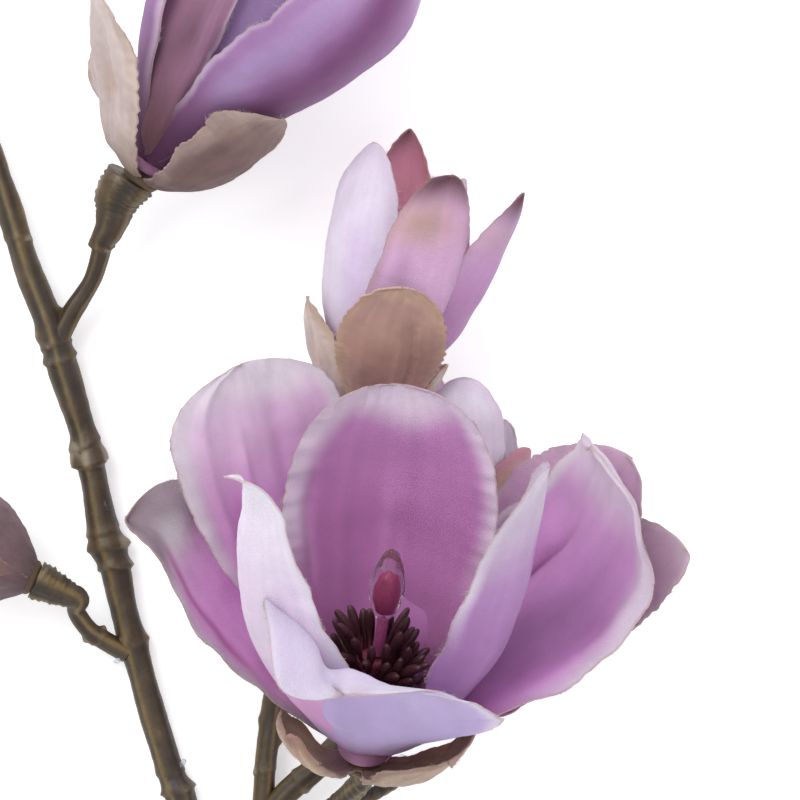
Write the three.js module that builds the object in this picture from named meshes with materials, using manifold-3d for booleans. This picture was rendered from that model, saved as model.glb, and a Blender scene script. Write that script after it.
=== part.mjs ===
// Saucer magnolia branch lying on a table: a forked woody stem, one wide open bloom, one long bloom,
// one upright bud, one bud half hidden behind the open bloom, and two small closed buds.
// Lengths are millimetres, +Z points up from the table, and +Y runs along the branch to its tip.

import * as THREE from 'three';
import { mergeVertices } from 'three/addons/utils/BufferGeometryUtils.js';
import Module from 'manifold-3d';

const wasm = await Module();
wasm.setup();

// Plan sketch: x to the right and y down in sketch units, seen from a point high over the table.
const SKETCH_UNIT = 0.235;
const SKETCH_CENTRE = 400;
const SKETCH_HEIGHT = 35;
const EYE_HEIGHT = 900;

// Blades, stems and the small parts.
const TEPAL_THICKNESS = 1.0;
const SEPAL_THICKNESS = 1.0;
const BLADE_ROWS = 8;
const BLADE_COLUMNS = 6;
const SMALL_ROWS = 5;
const SMALL_COLUMNS = 4;
const BEND_WEIGHT = 26;
const STEM_SIDES = 8;
const STEM_STEP = 15;
const ROOT_THICKENING = 1.2;
const ROOT_LENGTH = 0.25;
const DISC_RIM = 0.8;
const DISC_SIDES = 16;
const COLUMN_SIDES = 12;
const SEAT_GAP = 0.3;

// The knob below a bloom widens to its end: distance back from the end, and share of its radius.
const KNOB_STEPS = [[11, 0.58], [8, 0.7], [5, 0.84], [2.5, 0.94], [1, 1], [0, 0.97]];
const KNOB_OVER_FROM = 5;
const KNOB_OVER_LENGTH = 9;

// Steps for adding up the midrib and for measuring a blade, and the reach of its normal's differences.
const RIB_STEPS = 240;
const MEASURE_STEPS = 400;
const NORMAL_REACH = 0.004;
const NORMAL_REACH_ACROSS = 0.02;
const NORMAL_LAST = 0.985;

const MERGE_DISTANCE = 1e-4;
const DEG = Math.PI / 180;

// One blade in a bloom. turn: angle round the axis; length and width; lean: angle from the axis at
// four stations from root to tip; cup: angle of the rim at three stations; hook: extra lean past
// hookAt; wings: share of the half width on either side; widest, waist, taper and blunt: the outline;
// root and rise: where the blade starts from the axis and along it.
const PLAIN_BLADE = {
  turn: 0,
  length: 80,
  width: 50,
  lean: [20, 40, 30, 20],
  cup: [60, 40, 30],
  hook: 0,
  hookAt: 0.82,
  twist: 0,
  sway: 0,
  wings: [1, 1],
  widest: 0.6,
  waist: 0.28,
  taper: 2.2,
  blunt: 0.5,
  root: 3,
  rise: 0,
};

// The wide open bloom: three inner tepals, three in the middle and three outside.
const OPEN_BLOOM = {
  at: [366, 740, 40],
  axis: [0.06, 0.8, 0.6],
  seat: { radius: 6.6, low: -3.2, high: 1.5 },
  collar: { radius: 4.8, low: -6.8, high: -4.4 },
  knob: { radius: 4.4, long: 0.5, over: [0, 0] },
  tepals: [
    { turn: 84, length: 84, width: 54, lean: [60, 30, 10, 24], cup: [70, 50, 26], widest: 0.62, blunt: 0.44 },
    { turn: 212, length: 106, width: 52, lean: [50, 30, -12, 0], cup: [60, 60, 30], widest: 0.38,
      taper: 1.25, blunt: 1, hook: 60, twist: 6 },
    { turn: 344, length: 101, width: 46, lean: [52, 36, -16, 10], cup: [60, 70, 50], widest: 0.5,
      blunt: 0.7, twist: -6 },
    { turn: 126, length: 93, width: 58, lean: [62, 40, 10, 32], cup: [60, 40, 10], widest: 0.84,
      waist: 0.1, blunt: 0.56, wings: [0.8, 0.86], root: 4, rise: -1 },
    { turn: 26, length: 100, width: 80, lean: [22, 80, 84, -60], cup: [44, 14, 6], widest: 0.42,
      blunt: 0.56, wings: [0.86, 0.6], root: 4, rise: -1 },
    { turn: 264, length: 68, width: 62, lean: [50, 30, 8, 20], cup: [60, 40, 20], widest: 0.62,
      blunt: 0.4, wings: [1, 1.08], sway: -3, hook: 150, twist: -26, root: 4, rise: -1 },
    { turn: 163, length: 78, width: 46, lean: [64, 44, 34, 20], cup: [60, 40, 20], widest: 0.64,
      blunt: 0.6, hook: 80, wings: [1, 0.62], root: 5, rise: -2 },
    { turn: 12, length: 85, width: 56, lean: [66, 56, 46, 44], cup: [50, 40, 20], wings: [0.6, 1],
      root: 5, rise: -2 },
    { turn: 34, length: 89, width: 50, lean: [66, 52, 42, 34], cup: [50, 40, 20], root: 5, rise: -2 },
  ],
  sepals: [
    { turn: 306, length: 36, width: 36, lean: [82, 58, 30, 30], cup: [12, 50, 44], wings: [0.75, 1],
      root: 3.6, rise: -5.7 },
    { turn: 214, length: 28, width: 28, lean: [84, 70, 26, 10], cup: [12, 50, 44], wings: [1, 0.6],
      root: 3.6, rise: -5.7 },
  ],
};

// The long goblet bloom at the far end.
const LONG_BLOOM = {
  at: [149, 166, 17.1],
  axis: [0.54, 0.83, 0.2],
  seat: { radius: 5.4, low: -1.2, high: 1.5 },
  collar: { radius: 4.8, low: -4.7, high: -2.1 },
  knob: { radius: 5.9, long: 1.25, over: [-2.0, 1.3] },
  tepals: [
    { turn: 236, length: 88, width: 52, lean: [34, 16, 4, 6], cup: [80, 60, 40], widest: 0.5, blunt: 0.6,
      wings: [1, 0.35] },
    { turn: 274, length: 86, width: 44, lean: [30, 8, 0, 6], cup: [80, 60, 40], widest: 0.5, blunt: 0.6,
      root: 1.5 },
    { turn: 316, length: 95, width: 65, lean: [24, 46, 40, -56], cup: [80, 60, 40], widest: 0.52,
      blunt: 0.6, wings: [0.66, 1], root: 4 },
    { turn: 15, length: 88, width: 56, lean: [44, 22, 2, 4], cup: [80, 60, 40], widest: 0.55, blunt: 0.6 },
    { turn: 80, length: 88, width: 56, lean: [46, 20, 0, 6], cup: [80, 60, 40], widest: 0.55, blunt: 0.6 },
    { turn: 150, length: 88, width: 56, lean: [40, 20, 2, 6], cup: [80, 60, 40], widest: 0.55, blunt: 0.6 },
  ],
  sepals: [
    { turn: 216, length: 56, width: 30, lean: [72, 38, 26, 48], cup: [28, 44, 20], widest: 0.5, blunt: 0.7,
      wings: [0.45, 1], root: 4, rise: -3.3 },
    { turn: 318, length: 42, width: 28, lean: [80, 30, 20, 14], cup: [28, 60, 36], root: 4, rise: -3.3 },
  ],
};

// The upright bud in the middle.
const UPRIGHT_BUD = {
  at: [374, 402, 17],
  axis: [0.13, 0.97, 0.12],
  seat: { radius: 4.6, low: -1.2, high: 2 },
  collar: { radius: 4.8, low: -4.2, high: -2.0 },
  tepals: [
    { turn: 226, length: 67, width: 29, lean: [48, 18, -14, -18], cup: [80, 60, 40], widest: 0.46,
      blunt: 0.55 },
    { turn: 90, length: 67, width: 21, lean: [30, 6, 0, -2], cup: [60, 50, 40], widest: 0.5, blunt: 0.75 },
    { turn: 291, length: 64, width: 26, lean: [50, 24, 4, 8], cup: [80, 55, 30], widest: 0.5, blunt: 0.6,
      sway: 1, hook: 16 },
    { turn: 336, length: 63, width: 23, lean: [44, 38, 16, 10], cup: [80, 80, 60], widest: 0.45,
      blunt: 0.8 },
    { turn: 30, length: 58, width: 22, lean: [40, 12, 0, 0], cup: [60, 50, 30], widest: 0.5, blunt: 0.6 },
  ],
  sepals: [
    { turn: 276, length: 43, width: 27, lean: [78, 40, 8, 4], cup: [36, 46, 10], widest: 0.6, blunt: 0.45,
      root: 4, rise: -3.1 },
    { turn: 202, length: 34, width: 24, lean: [78, 36, 10, -2], cup: [36, 64, 40], widest: 0.45, blunt: 0.9,
      root: 4, rise: -3.1 },
    { turn: 0, length: 20, width: 17, lean: [78, 50, 26, 10], cup: [36, 44, 30], widest: 0.5, blunt: 0.6,
      root: 4, rise: -3.1 },
  ],
};

// The bud that lies behind the open bloom.
const REAR_BUD = {
  at: [455, 575, 10.5],
  axis: [0.12, 0.98, 0.04],
  seat: { radius: 4.2, low: -1.2, high: 1.6 },
  collar: { radius: 4.4, low: -4.2, high: -2.0 },
  tepals: [
    { turn: 158, length: 50, width: 16, lean: [28, 10, 0, 0], cup: [80, 60, 40], widest: 0.5, blunt: 0.7 },
    { turn: 256, length: 50, width: 24, lean: [36, 12, 0, 4], cup: [80, 50, 30], widest: 0.55 },
    { turn: 330, length: 36, width: 24, lean: [46, 24, 6, 10], cup: [80, 60, 40], widest: 0.5 },
    { turn: 50, length: 40, width: 22, lean: [36, 14, 2, 2], cup: [70, 60, 40], widest: 0.5, blunt: 0.6 },
    { turn: 105, length: 44, width: 22, lean: [34, 12, 0, 0], cup: [70, 60, 40], widest: 0.5, blunt: 0.6 },
  ],
  sepals: [
    { turn: 235, length: 18, width: 14, lean: [74, 36, 8, 4], cup: [60, 40, 10], root: 4, rise: -3 },
    { turn: 10, length: 18, width: 14, lean: [74, 40, 10, 6], cup: [60, 50, 30], widest: 0.45, blunt: 0.9,
      root: 4, rise: -3 },
  ],
};

// The small closed bud on the left twig.
const SIDE_BUD = {
  at: [20, 572, 15.6],
  axis: [-0.88, 0.42, 0.08],
  seat: { radius: 3.6, low: -1.2, high: 2.5 },
  collar: { radius: 4.4, low: -4.2, high: -2.0 },
  tepals: [
    { turn: 270, length: 36, width: 24, lean: [40, 10, -6, -8], cup: [90, 80, 60], widest: 0.45, blunt: 0.8 },
    { turn: 30, length: 36, width: 24, lean: [40, 10, -6, -8], cup: [90, 80, 60], widest: 0.45, blunt: 0.8 },
    { turn: 150, length: 36, width: 24, lean: [40, 10, -6, -8], cup: [90, 80, 60], widest: 0.45, blunt: 0.8 },
  ],
  sepals: [
    { turn: 230, length: 28, width: 28, lean: [54, 24, 20, 36], cup: [40, 60, 40], widest: 0.55, blunt: 0.6,
      root: 3.6, rise: -3.1 },
    { turn: 330, length: 28, width: 28, lean: [54, 24, 20, 36], cup: [40, 60, 40], widest: 0.55, blunt: 0.6,
      root: 3.6, rise: -3.1 },
    { turn: 90, length: 28, width: 26, lean: [54, 24, 8, 6], cup: [40, 60, 40], widest: 0.55, blunt: 0.6,
      root: 3.6, rise: -3.1 },
  ],
};

// The closed bud that ends the main stem.
const TIP_BUD = {
  at: [-44, 62, 10],
  axis: [-0.35, 0.93, 0.04],
  seat: { radius: 3.4, low: -1.2, high: 2.5 },
  tepals: [
    { turn: 270, length: 34, width: 18, lean: [40, 10, -8, -14], cup: [95, 90, 80], widest: 0.4, blunt: 0.8 },
    { turn: 30, length: 34, width: 18, lean: [40, 10, -8, -14], cup: [95, 90, 80], widest: 0.4, blunt: 0.8 },
    { turn: 150, length: 34, width: 18, lean: [40, 10, -8, -14], cup: [95, 90, 80], widest: 0.4, blunt: 0.8 },
  ],
};

// Stamens stand in rings on a short column in the open bloom, round the clear pistil.
const COLUMN = [[0, 1.8], [2.2, 1.8], [4.8, 8], [4.8, 18], [3.4, 26], [0, 26]];
const STAMEN_RINGS = [
  { count: 9, along: 8, out: 45, length: 13.4 },
  { count: 10, along: 13, out: 41, length: 16 },
  { count: 10, along: 18, out: 33, length: 16 },
  { count: 8, along: 22.5, out: 25, length: 15 },
];
const STAMEN_SIDES = 4;
const STAMEN_SECTION = [[0, 0.8], [0.45, 0.9], [0.7, 1.6], [1, 0.9]];
const PISTIL = [[0, 26.6], [1.4, 26.6], [1.4, 34], [3.6, 43], [3.8, 48], [2.2, 55], [0, 58]];
const PISTIL_SIDES = 10;
// The pistil leans a little from the axis of its bloom.
const PISTIL_STAND = { at: OPEN_BLOOM.at, axis: [0.11, 0.8, 0.6] };

// Stems as [x, y, height, radius] in the plan sketch. Close pairs make the ring scars and knuckles.
const MAIN_STEM = [
  [300, 1500, 3.6, 4.3], [285, 1300, 3.5, 4.2], [262, 1130, 3.4, 4.1], [240, 1000, 3.3, 4.0],
  [213, 890, 3.1, 3.7], [184, 806, 3.0, 3.6], [178, 790, 3.3, 4.1], [172, 776, 3.0, 3.6],
  [147, 695, 3.1, 3.6], [124, 610, 3.4, 3.6], [114, 566, 3.8, 3.8], [108, 546, 4.1, 4.5],
  [103, 526, 4.2, 3.8], [92, 470, 4.6, 3.4], [87, 450, 4.7, 3.9], [83, 432, 4.8, 3.3],
  [62, 366, 5.3, 3.9], [55, 340, 5.5, 3.6], [26, 262, 6, 3.3], [-5, 165, 7, 3.0], [-30, 100, 8.6, 2.6],
];
const LONG_BLOOM_STEM = [
  [57, 345, 5.5, 2.6], [72, 312, 7, 2.4], [92, 280, 9, 2.1], [101, 252, 11, 2.3], [103, 242, 11.8, 3.3],
];
const SIDE_BUD_STEM = [
  [127, 652, 4, 2.4], [104, 640, 6.5, 2.3], [88, 629, 9, 2.1], [76, 611, 11.5, 2.0],
];
const MIDDLE_STEM = [
  [243, 1010, 4, 3.2], [250, 940, 4, 3.1], [261, 870, 4, 2.9], [264, 790, 4, 2.7], [268, 740, 4, 2.6],
  [276, 685, 4, 2.5], [300, 600, 5, 2.4], [335, 500, 9, 2.4], [360, 444, 13.5, 3.0],
];
const REAR_BUD_STEM = [
  [256, 905, 4, 3.0], [262, 830, 5, 3.0], [285, 795, 6, 3.0], [322, 762, 7.5, 3.0],
  [362, 714, 8, 2.8], [412, 656, 9.2, 2.8], [438, 622, 9.8, 3.2],
];
const OPEN_BLOOM_STEM = [
  [268, 880, 5, 3.0], [300, 846, 9, 2.8], [322, 820, 15, 2.6], [338, 803, 21.5, 2.5], [350, 793, 27, 2.5],
];
const SPUR = [
  [318, 828, 10, 2.2], [345, 812, 9, 2.0], [375, 793, 9, 1.9], [400, 776, 10, 1.8], [415, 764, 11, 2.4],
];

// ---------------------------------------------------------------- small helpers

function place(x, y, z) {
  const spread = (EYE_HEIGHT - z) / (EYE_HEIGHT - SKETCH_HEIGHT) * SKETCH_UNIT;
  return new THREE.Vector3((x - SKETCH_CENTRE) * spread, (SKETCH_CENTRE - y) * spread, z);
}

function smooth(x) {
  const t = Math.min(1, Math.max(0, x));
  return t * t * (3 - 2 * t);
}

// Bernstein blend of three or four control values.
function blend(values, u) {
  const w = 1 - u;
  if (values.length === 3) {
    return w * w * values[0] + 2 * w * u * values[1] + u * u * values[2];
  }
  return w * w * w * values[0] + 3 * w * w * u * values[1] + 3 * w * u * u * values[2]
    + u * u * u * values[3];
}

function bloomFrame(bloom) {
  const along = new THREE.Vector3(...bloom.axis).normalize();
  const side = new THREE.Vector3(1, 0, 0).addScaledVector(along, -along.x).normalize();
  const front = new THREE.Vector3().crossVectors(along, side);
  return { origin: place(...bloom.at), along, side, front };
}

function closedGeometry(points, faces) {
  const geometry = new THREE.BufferGeometry();
  geometry.setAttribute('position', new THREE.Float32BufferAttribute(points.flatMap((p) => p.toArray()), 3));
  geometry.setIndex(faces.flat());
  return geometry;
}

function toSolid(geometry) {
  const bare = geometry.clone();
  bare.deleteAttribute('normal');
  bare.deleteAttribute('uv');
  const merged = mergeVertices(bare, MERGE_DISTANCE);
  return new wasm.Manifold(new wasm.Mesh({
    numProp: 3,
    vertProperties: new Float32Array(merged.attributes.position.array),
    triVerts: new Uint32Array(merged.index.array),
  }));
}

// The largest closed shell of a solid: sealed hollows are filled and loose scraps are dropped.
function toGeometry(solid) {
  const { vertProperties, triVerts, numVert } = solid.getMesh();
  const owner = Int32Array.from({ length: numVert }, (_, i) => i);
  const find = (i) => {
    let root = i;
    while (owner[root] !== root) {
      root = owner[root];
    }
    owner[i] = root;
    return root;
  };
  for (let i = 0; i < triVerts.length; i += 3) {
    owner[find(triVerts[i + 1])] = find(triVerts[i]);
    owner[find(triVerts[i + 2])] = find(triVerts[i]);
  }
  const shells = new Map();
  for (let i = 0; i < triVerts.length; i += 3) {
    const key = find(triVerts[i]);
    shells.set(key, [...(shells.get(key) ?? []), triVerts[i], triVerts[i + 1], triVerts[i + 2]]);
  }
  const largest = [...shells.values()].reduce((a, b) => (b.length > a.length ? b : a));
  const geometry = new THREE.BufferGeometry();
  geometry.setAttribute('position', new THREE.Float32BufferAttribute(vertProperties, 3));
  geometry.setIndex(largest);
  const bare = geometry.toNonIndexed();
  return mergeVertices(bare, MERGE_DISTANCE);
}

function fuse(geometries) {
  return geometries.map(toSolid).reduce((whole, next) => whole.add(next));
}

// ---------------------------------------------------------------- blades

// Lean of the midrib from the bloom's axis, in radians.
function leanAt(blade, u) {
  return DEG * (blend(blade.lean, u) + blade.hook * smooth((u - blade.hookAt) / (1 - blade.hookAt)));
}

function halfWidth(blade, u) {
  if (u < blade.widest) {
    const swell = Math.sin(Math.PI / 2 * u / blade.widest) ** 1.2;
    return blade.width / 2 * (blade.waist + (1 - blade.waist) * swell);
  }
  const t = (u - blade.widest) / (1 - blade.widest);
  return blade.width / 2 * Math.max(0, 1 - t ** blade.taper) ** blade.blunt;
}

// Returns the middle surface as a function of u (root to tip, 0 to 1) and v (rim to rim, -1 to 1).
function bladeSurface(bloom, shape) {
  const blade = { ...PLAIN_BLADE, ...shape };
  const { origin, along, side, front } = bloomFrame(bloom);
  const turn = blade.turn * DEG;
  const outward = side.clone().multiplyScalar(Math.cos(turn)).addScaledVector(front, Math.sin(turn));
  const across = front.clone().multiplyScalar(Math.cos(turn)).addScaledVector(side, -Math.sin(turn));
  const step = blade.length / RIB_STEPS;
  const rib = [[blade.root, blade.rise]];
  for (let i = 1; i <= RIB_STEPS; i += 1) {
    const lean = leanAt(blade, (i - 0.5) / RIB_STEPS);
    const [out, up] = rib[i - 1];
    rib.push([out + Math.sin(lean) * step, up + Math.cos(lean) * step]);
  }
  return (u, v) => {
    const at = Math.min(RIB_STEPS, u * RIB_STEPS);
    const low = Math.min(RIB_STEPS - 1, Math.floor(at));
    const out = rib[low][0] + (rib[low + 1][0] - rib[low][0]) * (at - low);
    const up = rib[low][1] + (rib[low + 1][1] - rib[low][1]) * (at - low);
    const lean = leanAt(blade, u);
    const half = halfWidth(blade, u) * blade.wings[v < 0 ? 0 : 1];
    const cup = Math.max(0.02, DEG * blend(blade.cup, u));
    const flatX = Math.sign(v) * half * Math.sin(cup * Math.abs(v)) / cup;
    const rise = half * (1 - Math.cos(cup * Math.abs(v))) / cup;
    const twist = DEG * blade.twist * u;
    const x = flatX * Math.cos(twist) - rise * Math.sin(twist) + blade.sway * u * u;
    const n = flatX * Math.sin(twist) + rise * Math.cos(twist);
    return origin.clone()
      .addScaledVector(outward, out - Math.cos(lean) * n)
      .addScaledVector(along, up + Math.sin(lean) * n)
      .addScaledVector(across, x);
  };
}

// Stations from root to tip, closer together where the blade bends more.
function bladeStations(shape, rows) {
  const blade = { ...PLAIN_BLADE, ...shape };
  const measure = [0];
  for (let i = 1; i <= MEASURE_STEPS; i += 1) {
    const here = i / MEASURE_STEPS;
    const before = (i - 1) / MEASURE_STEPS;
    const bend = Math.abs(leanAt(blade, here) - leanAt(blade, before));
    const narrowing = Math.abs(halfWidth(blade, here) - halfWidth(blade, before));
    measure.push(measure[i - 1] + blade.length / MEASURE_STEPS + BEND_WEIGHT * bend + narrowing);
  }
  const stations = [];
  for (let row = 0, i = 0; row <= rows; row += 1) {
    const wanted = measure[MEASURE_STEPS] * row / rows;
    while (i < MEASURE_STEPS && measure[i] < wanted) {
      i += 1;
    }
    stations.push(i / MEASURE_STEPS);
  }
  return stations;
}

// A blade of even thickness: both faces carry the same triangles, and the tip row is one point.
function bladeGeometry(bloom, shape, thickness, rows, columns) {
  const surface = bladeSurface(bloom, shape);
  const stations = bladeStations(shape, rows);
  const points = [];
  const index = [];
  stations.forEach((u, i) => {
    const row = [];
    for (let j = 0; j <= columns; j += 1) {
      if (i === rows && j > 0) {
        row.push(row[0]);
        continue;
      }
      const v = i === rows ? 0 : -1 + 2 * j / columns;
      const near = Math.min(u, NORMAL_LAST);
      const low = Math.max(-1, v - NORMAL_REACH_ACROSS);
      const high = Math.min(1, v + NORMAL_REACH_ACROSS);
      const alongU = surface(near + NORMAL_REACH, v).sub(surface(Math.max(0, near - NORMAL_REACH), v));
      const alongV = surface(near, high).sub(surface(near, low));
      const normal = alongU.cross(alongV).normalize();
      const middle = surface(u, v);
      row.push(points.length);
      const depth = thickness / 2 * (1 + ROOT_THICKENING * (1 - smooth(u / ROOT_LENGTH)));
      points.push(middle.clone().addScaledVector(normal, depth));
      points.push(middle.clone().addScaledVector(normal, -depth));
    }
    index.push(row);
  });
  const faces = [];
  const add = (a, b, c) => {
    if (a !== b && b !== c && a !== c) {
      faces.push([a, b, c]);
    }
  };
  for (let i = 0; i < rows; i += 1) {
    for (let j = 0; j < columns; j += 1) {
      const a = index[i][j];
      const b = index[i][j + 1];
      const c = index[i + 1][j + 1];
      const d = index[i + 1][j];
      add(a, d, b);
      add(b, d, c);
      add(a + 1, b + 1, d + 1);
      add(b + 1, c + 1, d + 1);
    }
    const first = index[i][0];
    const firstNext = index[i + 1][0];
    add(firstNext, first, first + 1);
    add(firstNext, first + 1, firstNext + 1);
    const last = index[i][columns];
    const lastNext = index[i + 1][columns];
    add(last, lastNext, lastNext + 1);
    add(last, lastNext + 1, last + 1);
  }
  for (let j = 0; j < columns; j += 1) {
    const a = index[0][j];
    const b = index[0][j + 1];
    add(a, b, b + 1);
    add(a, b + 1, a + 1);
  }
  return closedGeometry(points, faces);
}

// A turned body on the bloom's axis from [radius, along] pairs that start and end on the axis.
function turned(bloom, profile, sides) {
  const { origin, along, side, front } = bloomFrame(bloom);
  const points = profile.map(([r, z]) => new THREE.Vector2(r, z));
  const geometry = new THREE.LatheGeometry(points, sides);
  const matrix = new THREE.Matrix4().makeBasis(front, along, side).setPosition(origin);
  return geometry.applyMatrix4(matrix);
}

function disc(bloom, { radius, low, high }) {
  const profile = [[0, low], [radius - DISC_RIM, low], [radius, low + DISC_RIM],
    [radius, high - DISC_RIM / 2], [radius - DISC_RIM, high], [0, high]];
  return turned(bloom, profile, DISC_SIDES);
}

function tepals(bloom, rows, columns) {
  const blades = bloom.tepals.map((shape) => bladeGeometry(bloom, shape, TEPAL_THICKNESS, rows, columns));
  return fuse([disc(bloom, bloom.seat), ...blades]);
}

function sepals(bloom, rows, columns) {
  const blades = bloom.sepals.map((shape) => bladeGeometry(bloom, shape, SEPAL_THICKNESS, rows, columns));
  return fuse([disc(bloom, bloom.collar), ...blades]);
}

// ---------------------------------------------------------------- stems

// A tapering stem through its nodes; when it carries a bloom it ends square to the bloom's axis.
function stemGeometry(nodes, bloom) {
  const centres = nodes.map(([x, y, z]) => place(x, y, z));
  const radii = nodes.map((node) => node[3]);
  let end = null;
  if (bloom) {
    const { origin, along } = bloomFrame(bloom);
    const holder = bloom.collar ?? bloom.seat;
    const knob = bloom.knob ?? { radius: holder.radius, long: 1, over: [0, 0] };
    const over = new THREE.Vector3(...knob.over, 0);
    for (const [back, scale] of KNOB_STEPS) {
      const behind = back * knob.long;
      const share = 1 - smooth((behind - KNOB_OVER_FROM) / KNOB_OVER_LENGTH);
      const centre = origin.clone().addScaledVector(along, holder.low - SEAT_GAP - behind);
      centres.push(centre.addScaledVector(over, share));
      radii.push(knob.radius * scale);
    }
    end = along;
  }
  const curve = new THREE.CatmullRomCurve3(centres, false, 'centripetal');
  const spans = centres.length - 1;
  const stations = [];
  for (let i = 0; i < spans; i += 1) {
    const parts = Math.max(1, Math.round(centres[i].distanceTo(centres[i + 1]) / STEM_STEP));
    for (let k = 0; k < parts; k += 1) {
      stations.push([(i + k / parts) / spans, radii[i] + (radii[i + 1] - radii[i]) * k / parts]);
    }
  }
  stations.push([1, radii[spans]]);
  const up = new THREE.Vector3(0, 0, 1);
  const points = [];
  stations.forEach(([t, radius], ring) => {
    const centre = curve.getPoint(t);
    const isEnd = ring === stations.length - 1;
    const tangent = isEnd && end ? end : curve.getTangent(t);
    const level = new THREE.Vector3().crossVectors(up, tangent).normalize();
    const raised = new THREE.Vector3().crossVectors(tangent, level);
    for (let k = 0; k < STEM_SIDES; k += 1) {
      const angle = (k + 0.5) / STEM_SIDES * 2 * Math.PI + Math.PI / 2;
      points.push(centre.clone()
        .addScaledVector(level, radius * Math.cos(angle))
        .addScaledVector(raised, radius * Math.sin(angle)));
    }
  });
  const faces = [];
  for (let ring = 0; ring < stations.length - 1; ring += 1) {
    for (let k = 0; k < STEM_SIDES; k += 1) {
      const a = ring * STEM_SIDES + k;
      const b = ring * STEM_SIDES + (k + 1) % STEM_SIDES;
      faces.push([a, b, b + STEM_SIDES]);
      faces.push([a, b + STEM_SIDES, a + STEM_SIDES]);
    }
  }
  const startCap = points.length;
  points.push(curve.getPoint(0));
  const endCap = points.length;
  points.push(curve.getPoint(1));
  const lastRing = (stations.length - 1) * STEM_SIDES;
  for (let k = 0; k < STEM_SIDES; k += 1) {
    const next = (k + 1) % STEM_SIDES;
    faces.push([startCap, next, k]);
    faces.push([endCap, lastRing + k, lastRing + next]);
  }
  return closedGeometry(points, faces);
}

// ---------------------------------------------------------------- stamens

// One stamen: a thin foot and a thick club, its foot sunk well into the column.
function stamenGeometry(bloom, ring, k) {
  const { origin, along, side, front } = bloomFrame(bloom);
  const wobble = Math.sin(k * 12.9898 + ring.along * 78.233) * 0.5;
  const turn = (k + 0.5 * (ring.along % 2) + 0.35 * wobble) / ring.count * 2 * Math.PI;
  const outward = side.clone().multiplyScalar(Math.cos(turn)).addScaledVector(front, Math.sin(turn));
  const lean = DEG * (ring.out + 7 * wobble);
  const way = along.clone().multiplyScalar(Math.cos(lean)).addScaledVector(outward, Math.sin(lean));
  const across = new THREE.Vector3().crossVectors(along, outward);
  const raised = new THREE.Vector3().crossVectors(way, across);
  const foot = origin.clone().addScaledVector(along, ring.along).addScaledVector(outward, 2);
  const length = ring.length * (1 + 0.1 * wobble);
  const points = [];
  const faces = [];
  STAMEN_SECTION.forEach(([t, radius]) => {
    const centre = foot.clone().addScaledVector(way, t * length);
    for (let i = 0; i < STAMEN_SIDES; i += 1) {
      const angle = i / STAMEN_SIDES * 2 * Math.PI;
      points.push(centre.clone()
        .addScaledVector(across, radius * Math.cos(angle))
        .addScaledVector(raised, radius * Math.sin(angle)));
    }
  });
  const rings = STAMEN_SECTION.length;
  for (let r = 0; r < rings - 1; r += 1) {
    for (let i = 0; i < STAMEN_SIDES; i += 1) {
      const a = r * STAMEN_SIDES + i;
      const b = r * STAMEN_SIDES + (i + 1) % STAMEN_SIDES;
      faces.push([a, b, b + STAMEN_SIDES]);
      faces.push([a, b + STAMEN_SIDES, a + STAMEN_SIDES]);
    }
  }
  for (let i = 1; i < STAMEN_SIDES - 1; i += 1) {
    const top = (rings - 1) * STAMEN_SIDES;
    faces.push([0, i + 1, i]);
    faces.push([top, top + i, top + i + 1]);
  }
  return closedGeometry(points, faces);
}

function stamens(bloom) {
  const clubs = [];
  for (const ring of STAMEN_RINGS) {
    for (let k = 0; k < ring.count; k += 1) {
      clubs.push(stamenGeometry(bloom, ring, k));
    }
  }
  return fuse([turned(bloom, COLUMN, COLUMN_SIDES), ...clubs]);
}

// ---------------------------------------------------------------- the whole branch

const branch = fuse([
  stemGeometry(MAIN_STEM, TIP_BUD),
  stemGeometry(LONG_BLOOM_STEM, LONG_BLOOM),
  stemGeometry(SIDE_BUD_STEM, SIDE_BUD),
  stemGeometry(MIDDLE_STEM, UPRIGHT_BUD),
  stemGeometry(REAR_BUD_STEM, REAR_BUD),
  stemGeometry(OPEN_BLOOM_STEM, OPEN_BLOOM),
  stemGeometry(SPUR, null),
]);

const parts = [
  ['branch', branch, '#51442f', 0.7],
  ['open_bloom_tepals', tepals(OPEN_BLOOM, BLADE_ROWS, BLADE_COLUMNS), '#d3b2d2', 0.85],
  ['open_bloom_sepals', sepals(OPEN_BLOOM, SMALL_ROWS, SMALL_COLUMNS), '#a9866c', 0.85],
  ['open_bloom_stamens', stamens(OPEN_BLOOM), '#4a2436', 0.55],
  ['open_bloom_pistil', toSolid(turned(PISTIL_STAND, PISTIL, PISTIL_SIDES)), '#8c2a63', 0.15],
  ['long_bloom_tepals', tepals(LONG_BLOOM, BLADE_ROWS - 1, BLADE_COLUMNS), '#b592bd', 0.85],
  ['long_bloom_sepals', sepals(LONG_BLOOM, SMALL_ROWS, SMALL_COLUMNS), '#c2b2ab', 0.85],
  ['upright_bud_tepals', tepals(UPRIGHT_BUD, BLADE_ROWS, SMALL_COLUMNS), '#d7c0db', 0.85],
  ['upright_bud_sepals', sepals(UPRIGHT_BUD, SMALL_ROWS, SMALL_COLUMNS), '#b39890', 0.85],
  ['rear_bud_tepals', tepals(REAR_BUD, SMALL_ROWS, SMALL_COLUMNS), '#d6b7cf', 0.85],
  ['rear_bud_sepals', sepals(REAR_BUD, SMALL_ROWS, SMALL_COLUMNS), '#a08577', 0.85],
  ['side_bud_tepals', tepals(SIDE_BUD, SMALL_ROWS, SMALL_COLUMNS), '#b98fb0', 0.85],
  ['side_bud_sepals', sepals(SIDE_BUD, SMALL_ROWS, SMALL_COLUMNS), '#6d565c', 0.85],
  ['tip_bud_tepals', tepals(TIP_BUD, SMALL_ROWS, SMALL_COLUMNS), '#8c6f6c', 0.85],
];

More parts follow.
